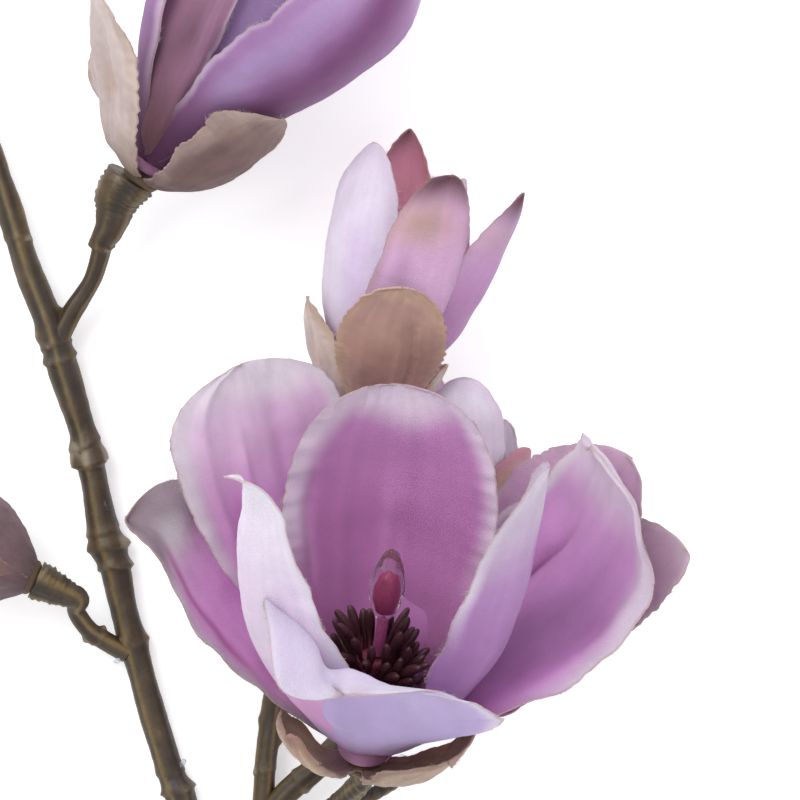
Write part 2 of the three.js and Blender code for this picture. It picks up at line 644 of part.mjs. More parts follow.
// Everything below the table's surface is cut away, which leaves small flat resting spots.
const TABLE_DEPTH = 40;
const TABLE_SIDE = 900;
const underTable = toSolid(new THREE.BoxGeometry(TABLE_SIDE, TABLE_SIDE, TABLE_DEPTH)
  .translate(0, 0, -TABLE_DEPTH / 2));

const group = new THREE.Group();
for (const [name, solid, colour, roughness] of parts) {
  const material = new THREE.MeshStandardMaterial({ color: colour, roughness, metalness: 0 });
  const mesh = new THREE.Mesh(toGeometry(solid.subtract(underTable)), material);
  mesh.name = name;
  group.add(mesh);
}

const box = new THREE.Box3().setFromObject(group);
const middle = box.getCenter(new THREE.Vector3());
for (const mesh of group.children) {
  mesh.geometry.translate(-middle.x, -middle.y, -box.min.z);
}

export default group;
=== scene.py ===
"""Saucer magnolia branch of woven cloth and moulded plastic, lying on a pale table.

Lengths in the making are millimetres on a plan sketch of the branch; the meshes are in metres.
"""

import bpy
import numpy as np
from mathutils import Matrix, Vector


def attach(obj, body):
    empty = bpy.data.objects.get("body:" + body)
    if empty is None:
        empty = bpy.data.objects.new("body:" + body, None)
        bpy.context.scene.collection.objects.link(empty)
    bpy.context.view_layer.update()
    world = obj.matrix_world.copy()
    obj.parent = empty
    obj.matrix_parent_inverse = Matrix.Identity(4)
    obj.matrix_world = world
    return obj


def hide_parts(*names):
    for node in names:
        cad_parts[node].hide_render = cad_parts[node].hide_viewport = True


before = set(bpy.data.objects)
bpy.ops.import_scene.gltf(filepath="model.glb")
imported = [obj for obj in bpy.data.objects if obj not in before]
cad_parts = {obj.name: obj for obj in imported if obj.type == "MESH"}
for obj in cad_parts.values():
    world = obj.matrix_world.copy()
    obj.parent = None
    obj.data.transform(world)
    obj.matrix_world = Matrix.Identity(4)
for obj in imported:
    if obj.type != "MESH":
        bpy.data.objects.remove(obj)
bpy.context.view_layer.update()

MM = 0.001
DEG = np.pi / 180.0

# The plan sketch: x to the right and y down, seen from a point high over the table.
SKETCH_UNIT = 0.235
SKETCH_CENTRE = 400.0
SKETCH_HEIGHT = 35.0
EYE_HEIGHT = 900.0
SHIFT = np.array([29.8637, 63.9289, 0.0])


# ------------------------------------------------------------------ small maths

def place(x, y, z):
    """Point on the sketch at a height: the sketch spreads with the distance from the eye."""
    spread = (EYE_HEIGHT - z) / (EYE_HEIGHT - SKETCH_HEIGHT) * SKETCH_UNIT
    return np.array([(x - SKETCH_CENTRE) * spread, (SKETCH_CENTRE - y) * spread, z]) + SHIFT


def smooth(x):
    """Smooth step: three times x squared less two times x cubed, held between 0 and 1."""
    t = np.clip(x, 0.0, 1.0)
    return t * t * (3.0 - 2.0 * t)


def blend(values, u):
    """Bernstein blend of three or four control values."""
    n = len(values) - 1
    counts = {2: (1, 2, 1), 3: (1, 3, 3, 1)}[n]
    return sum(c * val * u ** k * (1 - u) ** (n - k) for k, (c, val) in enumerate(zip(counts, values)))


def waves(seed, x, y=0.0, low=0.5, high=2.0, count=7):
    """Sum of plane waves with seeded directions and phases, about one in size."""
    rng = np.random.default_rng(seed)
    total = 0.0
    for _ in range(count):
        turn, k, phase = rng.uniform(0, 2 * np.pi), rng.uniform(low, high), rng.uniform(0, 2 * np.pi)
        total = total + np.sin(k * (np.cos(turn) * x + np.sin(turn) * y) + phase)
    return total / np.sqrt(count)


def linear(rgb):
    """Linear light from a colour given as 0 to 255 steps."""
    c = np.asarray(rgb, float) / 255.0
    return np.where(c <= 0.04045, c / 12.92, ((c + 0.055) / 1.055) ** 2.4)


def mix(a, b, amount):
    """Colour between a and b."""
    return a + (b - a) * np.asarray(amount)[..., None]


def unit(vectors):
    """Vectors divided by their length."""
    return vectors / np.maximum(np.linalg.norm(vectors, axis=-1, keepdims=True), 1e-9)


def bloom_frame(bloom):
    """Origin, axis and the two square directions of a bloom."""
    along = unit(np.array(bloom["axis"], float))
    side = unit(np.array([1.0, 0, 0]) - along * along[0])
    return place(*bloom["at"]), along, side, np.cross(along, side)


# ------------------------------------------------------------------ mesh making

def new_piece(name, parts, material, node):
    """Mesh object from closed parts, each a dict of points in mm, faces, tint, maps and flat face
    numbers; a face is four point numbers, the last one -1 on a triangle. It rides on the branch."""
    points, faces, tints, flats = [], [], [], []
    base = 0
    count = 0
    for part in parts:
        quads = np.asarray(part["faces"], np.int32)
        points.append(np.asarray(part["points"], float))
        faces.append(np.where(quads < 0, -1, quads + base))
        flats.append(np.asarray(part.get("flat", ()), int) + count)
        if part.get("tint") is not None:
            tints.append(part["tint"])
        base += len(part["points"])
        count += len(quads)
    points, quads = np.concatenate(points), np.concatenate(faces)
    mesh = bpy.data.meshes.new(name)
    mesh.vertices.add(len(points))
    mesh.vertices.foreach_set("co", (points * MM).astype(np.float32).ravel())
    loops = quads.ravel()[quads.ravel() >= 0]
    sizes = np.where(quads[:, 3] < 0, 3, 4)
    mesh.loops.add(len(loops))
    mesh.loops.foreach_set("vertex_index", loops.astype(np.int32))
    mesh.polygons.add(len(quads))
    mesh.polygons.foreach_set("loop_start", np.concatenate([[0], np.cumsum(sizes)[:-1]]).astype(np.int32))
    mesh.update(calc_edges=True)
    smooth_flags = np.ones(len(quads), bool)
    smooth_flags[np.concatenate(flats)] = False
    mesh.polygons.foreach_set("use_smooth", smooth_flags)
    if tints:
        tint = np.clip(np.concatenate(tints), 0, 1)
        layer = mesh.color_attributes.new("tint", "FLOAT_COLOR", "POINT")
        rgba = np.concatenate([tint, np.ones((len(tint), 1))], axis=1)
        layer.data.foreach_set("color", rgba.astype(np.float32).ravel())
    for layer_name in parts[0].get("maps", {}):
        values = np.concatenate([part["maps"][layer_name] for part in parts])
        layer = mesh.uv_layers.new(name=layer_name)
        layer.data.foreach_set("uv", values[loops].astype(np.float32).ravel())
    mesh.validate()
    mesh.materials.append(material)
    piece = bpy.data.objects.new(name, mesh)
    bpy.context.scene.collection.objects.link(piece)
    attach(piece, "root")
    if node:
        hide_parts(node)


def grid_faces(rows, cols, closed=False):
    """Quads of a grid of points, row by row; closed joins the last column to the first."""
    i, j = np.meshgrid(np.arange(rows - 1), np.arange(cols if closed else cols - 1), indexing="ij")
    nxt = (j + 1) % cols
    quads = np.stack([i * cols + j, (i + 1) * cols + j, (i + 1) * cols + nxt, i * cols + nxt], -1)
    return quads.reshape(-1, 4)


def tube_faces(rows, sides):
    """Faces of a closed tube of rings, with one more point at each end: start, then last."""
    k = np.arange(sides)
    nxt, none = (k + 1) % sides, np.full(sides, -1)
    start, last = none + 1 + rows * sides, (rows - 1) * sides
    caps = [np.stack([start, nxt, k, none], -1), np.stack([start + 1, last + k, last + nxt, none], -1)]
    return np.concatenate([grid_faces(rows, sides, closed=True)[:, ::-1], *caps])


def shell(middle, thick):
    """Closed thin sheet: the middle grid moved out along its normals to both sides, and a rim strip."""
    rows, cols = middle.shape[:2]
    normal = unit(np.cross(np.gradient(middle, axis=0), np.gradient(middle, axis=1)))
    inner = middle + normal * thick / 2
    outer = middle - normal * thick / 2
    count = rows * cols
    face_in = grid_faces(rows, cols)
    face_out = face_in[:, ::-1] + count
    left = np.arange(rows) * cols
    top = (rows - 1) * cols + np.arange(1, cols)
    right = np.arange(rows - 2, -1, -1) * cols + cols - 1
    bottom = np.arange(cols - 2, 0, -1)
    loop = np.concatenate([left, top, right, bottom])
    after = np.roll(loop, -1)
    rim = np.stack([after, loop, loop + count, after + count], -1)
    faces = np.concatenate([face_in, face_out, rim])
    flat = np.arange(len(faces) - len(rim), len(faces))
    points = np.concatenate([inner.reshape(-1, 3), outer.reshape(-1, 3)])
    return points, faces, flat, loop, normal


# ------------------------------------------------------------------ tepals and sepals

# Sizes in mm and angles in degrees. hook, twist and sway: how the tip bends, turns and shifts; widest,
# waist, taper and blunt: the outline; root and rise: where the midrib starts; wings: share of the half
# width on each side; roll: how far each rim turns back; ripple: rim waves; crumple and
# crinkle: broad and fine wrinkles; folds: (at, wide, high, begin, end) bells across the blade; pucker:
# gathers at the rim; rim_mm: width of the pale band on either side, from rim_from on; streaks of dye,
# painted shade and painted highlight: (face, at, wide, colour, strength, begin, end); blotch: mottled dye;
# net: raised veins of a sepal.
PLAIN_BLADE = dict(hook=0, hook_at=0.82, twist=0, sway=0, widest=0.5, waist=0.28, taper=2.2, blunt=0.6,
                   root=3, rise=0, wings=(1, 1), roll=(0, 0), roll_at=0.75, ripple=0.6, crumple=0.42,
                   crinkle=0.06, folds=(), pucker=0.0, vein=0.02, net=0.0, blotch=0.0, fray=0.16,
                   rim_mm=(5.0, 5.0), rim_from=0.05, rim_mix=0.7, streaks=())
RIB_STEPS = 600
LEAST_HALF_WIDTH = 0.12
LEAST_HEIGHT = 0.3
CLOTH_MAP_SCALE = 0.01
CUT_EDGE = (186, 154, 142)
# Share of a blade at its root that sheds no threads, threads to a millimetre of rim, their shortest,
# mean and longest length, and the stations along one: share of its length, share of its radius.
CLEAN_ROOT = 0.2
THREADS_PER_MM = 1.5
THREAD_SHORT = 0.2
THREAD_MEAN = 0.32
THREAD_LONG = 1.8
THREAD_STATIONS = ((-0.15, 1.0), (0.5, 0.9), (1.0, 0.45))
RIM_GAP = 4
THIRD_TURNS = (0, 2.0944, 4.18879)


def rib_line(blade, u):
    """Midrib: its distance from the axis, its height along it, and its lean, each at u."""
    fine = np.linspace(0, 1, RIB_STEPS + 1)

    def lean_at(t):
        past = smooth((t - blade["hook_at"]) / (1 - blade["hook_at"]))
        return DEG * (blend(blade["lean"], t) + blade["hook"] * past)

    step = blade["length"] / RIB_STEPS
    lean = lean_at((fine[1:] + fine[:-1]) / 2)
    out = blade["root"] + np.concatenate([[0], np.cumsum(np.sin(lean) * step)])
    up = blade["rise"] + np.concatenate([[0], np.cumsum(np.cos(lean) * step)])
    return np.interp(u, fine, out), np.interp(u, fine, up), lean_at(u)


def half_width(blade, u):
    """Half width: a sine from the waist to the widest place, then one less a power, to a power."""
    t = np.clip((u - blade["widest"]) / (1 - blade["widest"]), 0, 1)
    swell = np.sin(np.pi / 2 * np.clip(u / blade["widest"], 0, 1)) ** 1.2
    low = blade["waist"] + (1 - blade["waist"]) * swell
    high = np.maximum(0, 1 - t ** blade["taper"]) ** blade["blunt"]
    return np.maximum(blade["width"] / 2 * np.where(u < blade["widest"], low, high), LEAST_HALF_WIDTH)


def curled_section(blade, u, half, m):
    """Cross line of each row: each side curls up by the blended cup angle less the roll near its rim."""
    w = np.linspace(0, 1, m + 1)
    cup = DEG * blend(blade["cup"], u)[:, None]
    flats, rises = [], []
    for side, roll in enumerate(blade["roll"]):
        back = smooth((w - blade["roll_at"]) / (1 - blade["roll_at"]))
        angle = cup * w - DEG * roll * smooth(u / 0.5)[:, None] * back
        mid = (angle[:, 1:] + angle[:, :-1]) / 2
        wander = 1 + 0.012 * waves(blade["seed"] * 7 + side, u * blade["length"], low=0.1, high=0.9)
        torn = blade["fray"] * waves(blade["seed"] * 7 + side + 3, u * blade["length"], low=1.4, high=4.0)
        edge = half * blade["wings"][side] * wander + torn * smooth(half / 4)
        zero = np.zeros((len(u), 1))
        flats.append(edge[:, None] * np.concatenate([zero, np.cumsum(np.cos(mid), 1)], 1) / m)
        rises.append(edge[:, None] * np.concatenate([zero, np.cumsum(np.sin(mid), 1)], 1) / m)
    x = np.concatenate([-flats[0][:, :0:-1], flats[1]], 1)
    return x, np.concatenate([rises[0][:, :0:-1], rises[1]], 1)


def cloth_relief(blade, u, v, half):
    """Height of the folds, gathers, rim waves and wrinkles over the curled section."""
    across, along, seed = v * half, u * blade["length"], blade["seed"]
    n = np.zeros(v.shape)
    for at, wide, high, begin, end in blade["folds"]:
        reach = smooth((u - begin) / 0.12) * smooth((end - u) / 0.15)
        bow = at + 0.03 * waves(seed + 60, u * 6.0)
        n = n + high * np.exp(-((v - bow) / wide) ** 2) * reach
    side_phase = np.where(v > 0, 9.0, 0.0)
    around = np.where(u > 0.9, across, along * 0.8) + side_phase
    margin = np.minimum((1 - np.abs(v)) * half, (1 - u) * blade["length"])
    gather = smooth(1 - margin / 9.0) * smooth((u - 0.35) / 0.2)
    n = n + blade["pucker"] * gather * waves(seed + 70, around, low=1.2, high=2.4, count=5)
    rim_wave = waves(seed + 40, along + side_phase, low=0.12, high=0.5)
    n = n + blade["ripple"] * np.abs(v) ** 3 * smooth(u / 0.35) * rim_wave
    n = n + blade["crumple"] * waves(seed + 80, across, along, 0.08, 0.45) * smooth(u / 0.2)
    n = n + blade["crinkle"] * waves(seed + 90, across, along * 0.6, 0.6, 1.7, 12)
    ridge = 1 - np.abs(waves(seed + 95, across * 1.3 / np.maximum(half, 3) * 9, along * 0.35, 0.5, 1.3, 6))
    return n + blade["net"] * np.maximum(ridge, 0) ** 3


def blade_surface(bloom, blade, grid):
    """Middle surface of a blade: the midrib leaves the axis at its lean, the curled section stands
    on it, the relief and the twist move it, and it stays over the table."""
    rows, cols = grid
    u = 1 - (1 - np.linspace(0, 1, rows)) ** 1.5
    out, up, lean = (a[:, None] for a in rib_line(blade, u))
    half = half_width(blade, u)
    x, n = curled_section(blade, u, half, (cols - 1) // 2)
    uu, v = np.broadcast_arrays(u[:, None], np.linspace(-1, 1, cols)[None, :])
    n = n + cloth_relief(blade, uu, v, half[:, None])
    twist = DEG * blade["twist"] * uu
    x, n = x * np.cos(twist) - n * np.sin(twist), x * np.sin(twist) + n * np.cos(twist)
    x = x + blade["sway"] * uu ** 2
    origin, along, side_way, front = bloom_frame(bloom)
    turn = blade["turn"] * DEG
    outward = side_way * np.cos(turn) + front * np.sin(turn)
    over = front * np.cos(turn) - side_way * np.sin(turn)
    points = (origin + (out - np.cos(lean) * n)[..., None] * outward
              + (up + np.sin(lean) * n)[..., None] * along + x[..., None] * over)
    points[..., 2] = np.maximum(points[..., 2], LEAST_HEIGHT)
    return points, uu, v, half[:, None]


def face_tint(blade, ramp, u, v, half, face):
    """Dye over one face: three colours from root to tip, a rim colour in a band from the cut edge,
    streaks of dye, painted shade and painted highlight, each a bell across the blade between two stations
    along it, blotches and fine veins."""
    root, body, tip, rim = (linear(c) for c in ramp)
    seed = blade["seed"]
    wander = 0.25 * waves(seed + 120, v * 3, u * 6, 0.6, 2.4)
    base = mix(np.broadcast_to(root, u.shape + (3,)), body, smooth((u + 0.06 * wander) / 0.45))
    tone = mix(base, tip, smooth((u - 0.55 + 0.08 * wander) / 0.45))
    sides = [smooth(1.5 * (1 + way * v) * half / wide - 0.3 + wander)
             for way, wide in zip((1, -1), blade["rim_mm"])]
    end = smooth(1.5 * (1 - u) * blade["length"] / max(blade["rim_mm"]) - 0.3 + wander)
    band = 1 - np.minimum(1 - (1 - np.minimum(*sides)) * smooth((u - blade["rim_from"]) / 0.25), end)
    tone = mix(tone, rim, band * blade["rim_mix"])
    for which, at, wide, colour, strength, begin, stop in blade["streaks"]:
        if which in (face, "both"):
            reach = smooth((u - begin + 0.1 * wander) / 0.15) * smooth((stop - u) / 0.2)
            bell = np.exp(-((v - at + 0.1 * wander) / wide) ** 2)
            tone = mix(tone, linear(colour), np.clip(bell * reach * strength, 0, 1))
    across, along = v * half, u * blade["length"]
    fan = waves(seed + 160, v * 26, u * 1.6, 0.5, 2.0, 9)
    cloud = waves(seed + 170, across, along, 0.15, 0.9, 9)
    spots = waves(seed + 180, across, along, 1.0, 3.2, 12)
    tone = tone * (1 + blade["vein"] * fan + blade["blotch"] * (cloud + 0.6 * spots))[..., None]
    edge = np.minimum((1 - np.abs(v)) * half, (1 - u) * blade["length"])
    return mix(tone, linear(CUT_EDGE), 0.5 * (1 - smooth(edge / 0.5)))


def blade_part(bloom, shape, thick, grid):
    """One cloth blade as a mesh part, and its rim for the loose threads."""
    blade = {**PLAIN_BLADE, **shape}
    middle, u, v, half = blade_surface(bloom, blade, grid)
    points, faces, flat, loop, normal = shell(middle, thick)
    tint = np.concatenate([face_tint(blade, blade["inner"], u, v, half, "inner").reshape(-1, 3),
                           face_tint(blade, blade["outer"], u, v, half, "outer").reshape(-1, 3)])
    cloth = np.stack([v * half, u * blade["length"]], -1).reshape(-1, 2) * CLOTH_MAP_SCALE
    maps = {"cloth": np.concatenate([cloth, cloth])}
    part = dict(points=points, faces=faces, tint=tint, flat=flat, maps=maps)
    rows, cols = grid
    keep = loop[(loop % cols == 0) | (loop % cols == cols - 1) | (loop >= (rows - 1) * cols)]
    keep = keep[keep // cols > rows * CLEAN_ROOT]
    flat_middle = middle.reshape(-1, 3)
    inward = np.clip(keep % cols, 1, cols - 2) + np.minimum(keep // cols, rows - 2) * cols
    way = unit(flat_middle[keep] - flat_middle[inward])
    return part, (flat_middle[keep], way, normal.reshape(-1, 3)[keep], tint[keep])


def thread_part(rims, seed):
    """Loose threads along the cut rims: three-sided tubes of two spans that bend away from the
    cloth, gathered where a wave along the rim is high, most of them short and a few long."""
    rng = np.random.default_rng(seed)
    starts, ways, ups, tints = [], [], [], []
    for points, way, normal, tint in rims:
        gaps = np.linalg.norm(np.diff(points, axis=0), axis=1)
        gaps = np.where(gaps > RIM_GAP, 0, gaps)
        run = np.cumsum(gaps)
        dense = np.cumsum(gaps * np.maximum(0.1, waves(seed + 7, run, low=0.15, high=0.9)) ** 1.5)
        spots = np.sort(rng.uniform(0, dense[-1], int(run[-1] * THREADS_PER_MM)))
        pick = np.searchsorted(dense, spots)
        pick = np.clip(pick, 0, len(points) - 2)
        t = rng.uniform(0, 1, (len(pick), 1))
        starts.append(points[pick] * (1 - t) + points[pick + 1] * t)
        ways.append(way[pick])
        ups.append(normal[pick])
        tints.append(tint[pick])
    start, way, up, tint = (np.concatenate(a) for a in (starts, ways, ups, tints))
    count = len(start)
    run = np.cross(way, up)
    heading = unit(way + run * rng.normal(0, 0.8, (count, 1)) + up * rng.normal(0, 0.4, (count, 1)))
    length = (THREAD_SHORT + rng.exponential(THREAD_MEAN, (count, 1))).clip(THREAD_SHORT, THREAD_LONG)
    bend = unit(rng.normal(0, 1, (count, 3))) * 0.3 * length
    thick = 0.04 + 0.012 * length
    side = unit(np.cross(heading, up + 1e-3))
    other = np.cross(heading, side)
    rings = []
    for t, r in THREAD_STATIONS:
        centre = start + heading * length * t + bend * max(t, 0) ** 2
        centre[:, 2] = np.maximum(centre[:, 2], LEAST_HEIGHT)
        ring = [centre + thick * r * (side * np.cos(a) + other * np.sin(a)) for a in THIRD_TURNS]
        rings.append(np.stack(ring, 1))
    points = np.stack(rings, 1).reshape(-1, 3)
    base = np.arange(count)[:, None, None] * 9
    quads = grid_faces(3, 3, closed=True)[None][:, :, ::-1] + base
    caps = np.array([[0, 2, 1, -1], [6, 7, 8, -1]])[None]
    caps = np.where(caps < 0, -1, caps + base)
    faces = np.concatenate([quads.reshape(-1, 4), caps.reshape(-1, 4)])
    pale = np.repeat(np.clip(tint * 0.6 + 0.32, 0, 1), 9, axis=0)
    return dict(points=points, faces=faces, tint=pale, maps={"cloth": points[:, :2] * CLOTH_MAP_SCALE})


def turned_part(bloom, profile, sides=48, ridges=0.0, seed=1, dye=None):
    """Closed body turned on a bloom's axis from (radius, along) pairs, with shallow ridges round it."""
    origin, along, side, front = bloom_frame(bloom)
    profile = soften(profile)
    angle = np.linspace(0, 2 * np.pi, sides, endpoint=False)
    radius = profile[1:-1, 0][:, None] * (1 + ridges * waves(seed, 6 * np.cos(angle), 6 * np.sin(angle)))
    ring = (radius * np.cos(angle))[..., None] * side + (radius * np.sin(angle))[..., None] * front
    points = origin + ring + profile[1:-1, 1][:, None, None] * along
    ends = origin + profile[[0, -1], 1][:, None] * along
    points = np.concatenate([points.reshape(-1, 3), ends])
    tint = None if dye is None else np.broadcast_to(linear(dye), (len(points), 3))
    maps = {"cloth": (points[:, :2] - points[0, :2]) * CLOTH_MAP_SCALE}
    return dict(points=points, faces=tube_faces(len(profile) - 2, sides), tint=tint, maps=maps)


def soften(profile, count=60):
    """Profile drawn again with many points: each corner is rounded by a running mean."""
    profile = np.array(profile, float)
    run = np.concatenate([[0], np.cumsum(np.linalg.norm(np.diff(profile, axis=0), axis=1))])
    s = np.linspace(0, run[-1], count)
    fine = np.stack([np.interp(s, run, profile[:, 0]), np.interp(s, run, profile[:, 1])], -1)
    padded = np.concatenate([fine[:1], fine[:1], fine, fine[-1:], fine[-1:]])
    mean = sum(padded[k:k + count] for k in range(5)) / 5
    mean[0, 0] = mean[-1, 0] = 0.0
    return mean


# ------------------------------------------------------------------ dye colours, as 0 to 255 steps

WHITE = (238, 234, 243)
PALE = (226, 212, 230)
LILAC = (206, 168, 206)
DEEP = (190, 112, 172)
PINK = (214, 158, 200)
MAUVE = (176, 144, 170)
PLUM = (122, 84, 104)
TAN = (176, 146, 124)
BEIGE = (212, 197, 192)
BROWN = (136, 106, 98)
DUSK = (156, 118, 126)

FRESH = (PINK, PALE, WHITE, WHITE)
SOFT = (PINK, PALE, PALE, PALE)
ROSE = (PINK, PINK, LILAC, PINK)
SEPAL_CLOTH_WEAR = dict(blotch=0.06, crumple=0.5, crinkle=0.13, net=0.16, fray=0.3, vein=0.04)


def tepal(seed, turn, length, width, lean, cup, inner, outer, **rest):
    """Settings of one blade: its seed, its place round the bloom, its size, the midrib's lean and the
    sides' cup from root to tip, and the dye of both faces at the root, the body, the tip and the rim."""
    return dict(seed=seed, turn=turn, length=length, width=width, lean=lean, cup=cup, inner=inner,
                outer=outer, **rest)


def sepal(*values, **rest):
    """Settings of a sepal: a blade of coarser, more wrinkled and mottled cloth."""
    return tepal(*values, **SEPAL_CLOTH_WEAR, **rest)


OPEN_BLOOM = dict(at=(366, 740, 40), axis=(0.06, 0.8, 0.6))
OPEN_TEPALS = [
    tepal(11, 84, 84, 54, (60, 30, 10, 24), (70, 50, 26),
          ((176, 100, 156), (198, 132, 188), (196, 142, 192), (226, 212, 226)), (PINK, LILAC, PALE, PALE),
          widest=0.62, blunt=0.44, rim_mm=(9, 13), rim_from=0.38, rim_mix=1.0, roll=(10, 10), pucker=0.32,
          folds=((0.0, 0.05, 0.7, 0.15, 0.7), (0.75, 0.06, -0.8, 0.35, 0.8)),
          streaks=(("inner", 0.0, 0.1, (208, 150, 200), 0.5, 0.3, 0.9),)),
    tepal(12, 212, 106, 52, (50, 30, -12, 0), (60, 60, 30), FRESH,
          ((226, 140, 208), (240, 226, 243), (240, 238, 246), WHITE), widest=0.38, taper=1.25, blunt=1.0,
          hook=60, twist=6, ripple=0.5, streaks=(("both", 0.35, 0.5, (226, 158, 216), 0.85, 0.0, 0.5),)),
    tepal(13, 344, 101, 46, (52, 36, -16, 10), (60, 70, 50), (DEEP, LILAC, PALE, PALE),
          ((158, 100, 166), (188, 140, 198), (206, 174, 214), (232, 226, 238)), blunt=0.7, twist=-6,
          rim_mm=(5, 5), rim_from=0.5, rim_mix=1.0, ripple=0.25, crinkle=0.05,
          streaks=(("outer", 0.0, 2.0, (214, 208, 218), 0.75, 0.72, 1.6),)),
    tepal(14, 126, 93, 58, (62, 40, 10, 32), (60, 40, 10),
          ((186, 96, 168), (220, 158, 214), (226, 206, 224), (230, 222, 230)), SOFT, widest=0.84,
          waist=0.1, blunt=0.56, wings=(0.8, 0.86), root=4, rise=-1, rim_mm=(6, 12), rim_from=0.35,
          rim_mix=0.95, ripple=0.9, pucker=0.2,
          folds=((0.2, 0.07, 1.6, 0.25, 0.9), (-0.3, 0.1, -1.2, 0.3, 1.0), (0.6, 0.08, 1.0, 0.5, 1.1)),
          streaks=(("inner", 0.35, 0.22, (198, 120, 190), 0.8, 0.15, 0.8),
                   ("inner", -0.45, 0.25, (150, 100, 140), 0.6, 0.3, 0.65))),
    tepal(15, 26, 100, 80, (22, 80, 84, -60), (44, 14, 6),
          ((168, 88, 152), (222, 160, 220), (232, 206, 230), (236, 228, 236)), (PINK, LILAC, PALE, PALE),
          widest=0.42, blunt=0.56, wings=(0.86, 0.6), root=4, rise=-1, rim_mm=(16, 8), rim_from=0.25,
          rim_mix=1.0, ripple=0.9,
          folds=((0.3, 0.08, -2.2, 0.1, 0.75), (0.6, 0.14, 1.0, 0.2, 1.0), (-0.8, 0.08, 0.9, 0.3, 1.1)),
          # the first, narrow dark pink streak is painted shade in the deep crease at 0.3; the other two are
          # dye
          streaks=(("inner", 0.28, 0.07, (150, 62, 134), 0.9, 0.1, 0.72),
                   ("inner", -0.35, 0.4, (226, 168, 228), 0.6, 0.15, 0.8),
                   ("inner", 0.0, 2.0, (238, 230, 238), 0.8, 0.72, 1.6))),
    tepal(16, 264, 68, 62, (50, 30, 8, 20), (60, 40, 20),
          # inner dye: a grey lilac that is partly the cloth's own colour and partly painted shade on the
          # turned-back flap
          ((190, 168, 198), (204, 190, 212), (222, 213, 230), (230, 224, 236)),
          ((200, 150, 204), (204, 184, 230), (214, 200, 234), WHITE), widest=0.62, blunt=0.4,
          wings=(1, 1.08), sway=-3, hook=150, twist=-26, root=4, rise=-1,
          folds=((-0.16, 0.14, -3.0, 0.4, 1.4),), ripple=0.8, fray=0.35),
    tepal(17, 163, 78, 46, (64, 44, 34, 20), (60, 40, 20),
          ((216, 122, 198), (244, 186, 238), (240, 218, 236), (242, 238, 244)),
          (PINK, LILAC, (150, 118, 132), (128, 96, 106)), widest=0.64, wings=(1, 0.62), hook=80, root=5,
          rise=-2, ripple=0.9, rim_mm=(3, 20), rim_from=-0.2, rim_mix=0.95,
          streaks=(("inner", 0.25, 0.12, (188, 84, 164), 0.7, 0.3, 0.95),
                   ("both", 0.0, 2.0, (150, 128, 142), 0.9, 0.76, 1.6),
                   ("both", 0.0, 2.0, (112, 86, 92), 0.9, 0.9, 1.6))),
    tepal(18, 12, 85, 56, (66, 56, 46, 44), (50, 40, 20),
          (DEEP, (204, 164, 196), (200, 170, 190), (214, 196, 208)), (PINK, MAUVE, MAUVE, DUSK),
          widest=0.6, wings=(0.6, 1), root=5, rise=-2, ripple=1.1, fray=0.4, crinkle=0.07, blunt=0.5),
    tepal(19, 34, 89, 50, (66, 52, 42, 34), (50, 40, 20),
          (DEEP, (214, 174, 206), (202, 166, 192), (206, 180, 198)), SOFT, widest=0.6, root=5, rise=-2,
          ripple=1.1, fray=0.3, blunt=0.5),
]
OPEN_SEPALS = [
    sepal(21, 306, 36, 36, (82, 58, 30, 30), (12, 50, 44), (BROWN, TAN, (188, 162, 142), TAN),
          (PLUM, (170, 146, 130), TAN, BROWN), wings=(0.75, 1), root=3.6, rise=-5.7, ripple=1.2,
          widest=0.6, blunt=0.5),
    sepal(22, 214, 28, 28, (84, 70, 26, 10), (12, 50, 44), (PLUM, (196, 168, 146), TAN, TAN),
          (PLUM, (190, 164, 146), TAN, BROWN), wings=(1, 0.6), root=3.6, rise=-5.7, ripple=1.2, widest=0.6,
          blunt=0.5),
]
LONG_BLOOM = dict(at=(149, 166, 17.1), axis=(0.54, 0.83, 0.2))
LONG_DYE = (FRESH, ((138, 88, 132), (180, 134, 188), (204, 168, 210), (236, 218, 240)))
LONG_TEPALS = [
    tepal(31, 236, 88, 52, (34, 16, 4, 6), (80, 60, 40), FRESH,
          ((168, 124, 134), (184, 138, 168), (236, 214, 238), (238, 222, 240)), wings=(1, 0.35),
          ripple=0.4, streaks=(("outer", 0.1, 0.3, (128, 92, 112), 0.8, 0.25, 0.62),)),
    tepal(32, 274, 86, 44, (30, 8, 0, 6), (80, 60, 40), FRESH,
          ((136, 92, 136), (196, 168, 212), (220, 192, 228), (232, 214, 238)), root=1.5),
    tepal(33, 316, 95, 65, (24, 46, 40, -56), (80, 60, 40), *LONG_DYE, widest=0.52, root=4,
          wings=(0.66, 1), ripple=0.3, rim_mm=(4, 18),
          # the broad dark purple stripe down the middle is painted shade, and the pale streak at -0.6 is a
          # painted highlight
          streaks=(("outer", 0.0, 0.34, (142, 84, 138), 0.95, 0.0, 1.4),
                   ("outer", -0.6, 0.22, (206, 182, 226), 0.6, 0.2, 1.0))),
    tepal(34, 15, 88, 56, (44, 22, 2, 4), (80, 60, 40), *LONG_DYE, widest=0.55),
    tepal(35, 80, 88, 56, (46, 20, 0, 6), (80, 60, 40), *LONG_DYE, widest=0.55),
    tepal(36, 150, 88, 56, (40, 20, 2, 6), (80, 60, 40), *LONG_DYE, widest=0.55),
]
SEPAL_DYE = ((BROWN, BEIGE, BEIGE, BEIGE), (BROWN, (190, 168, 162), BEIGE, TAN))
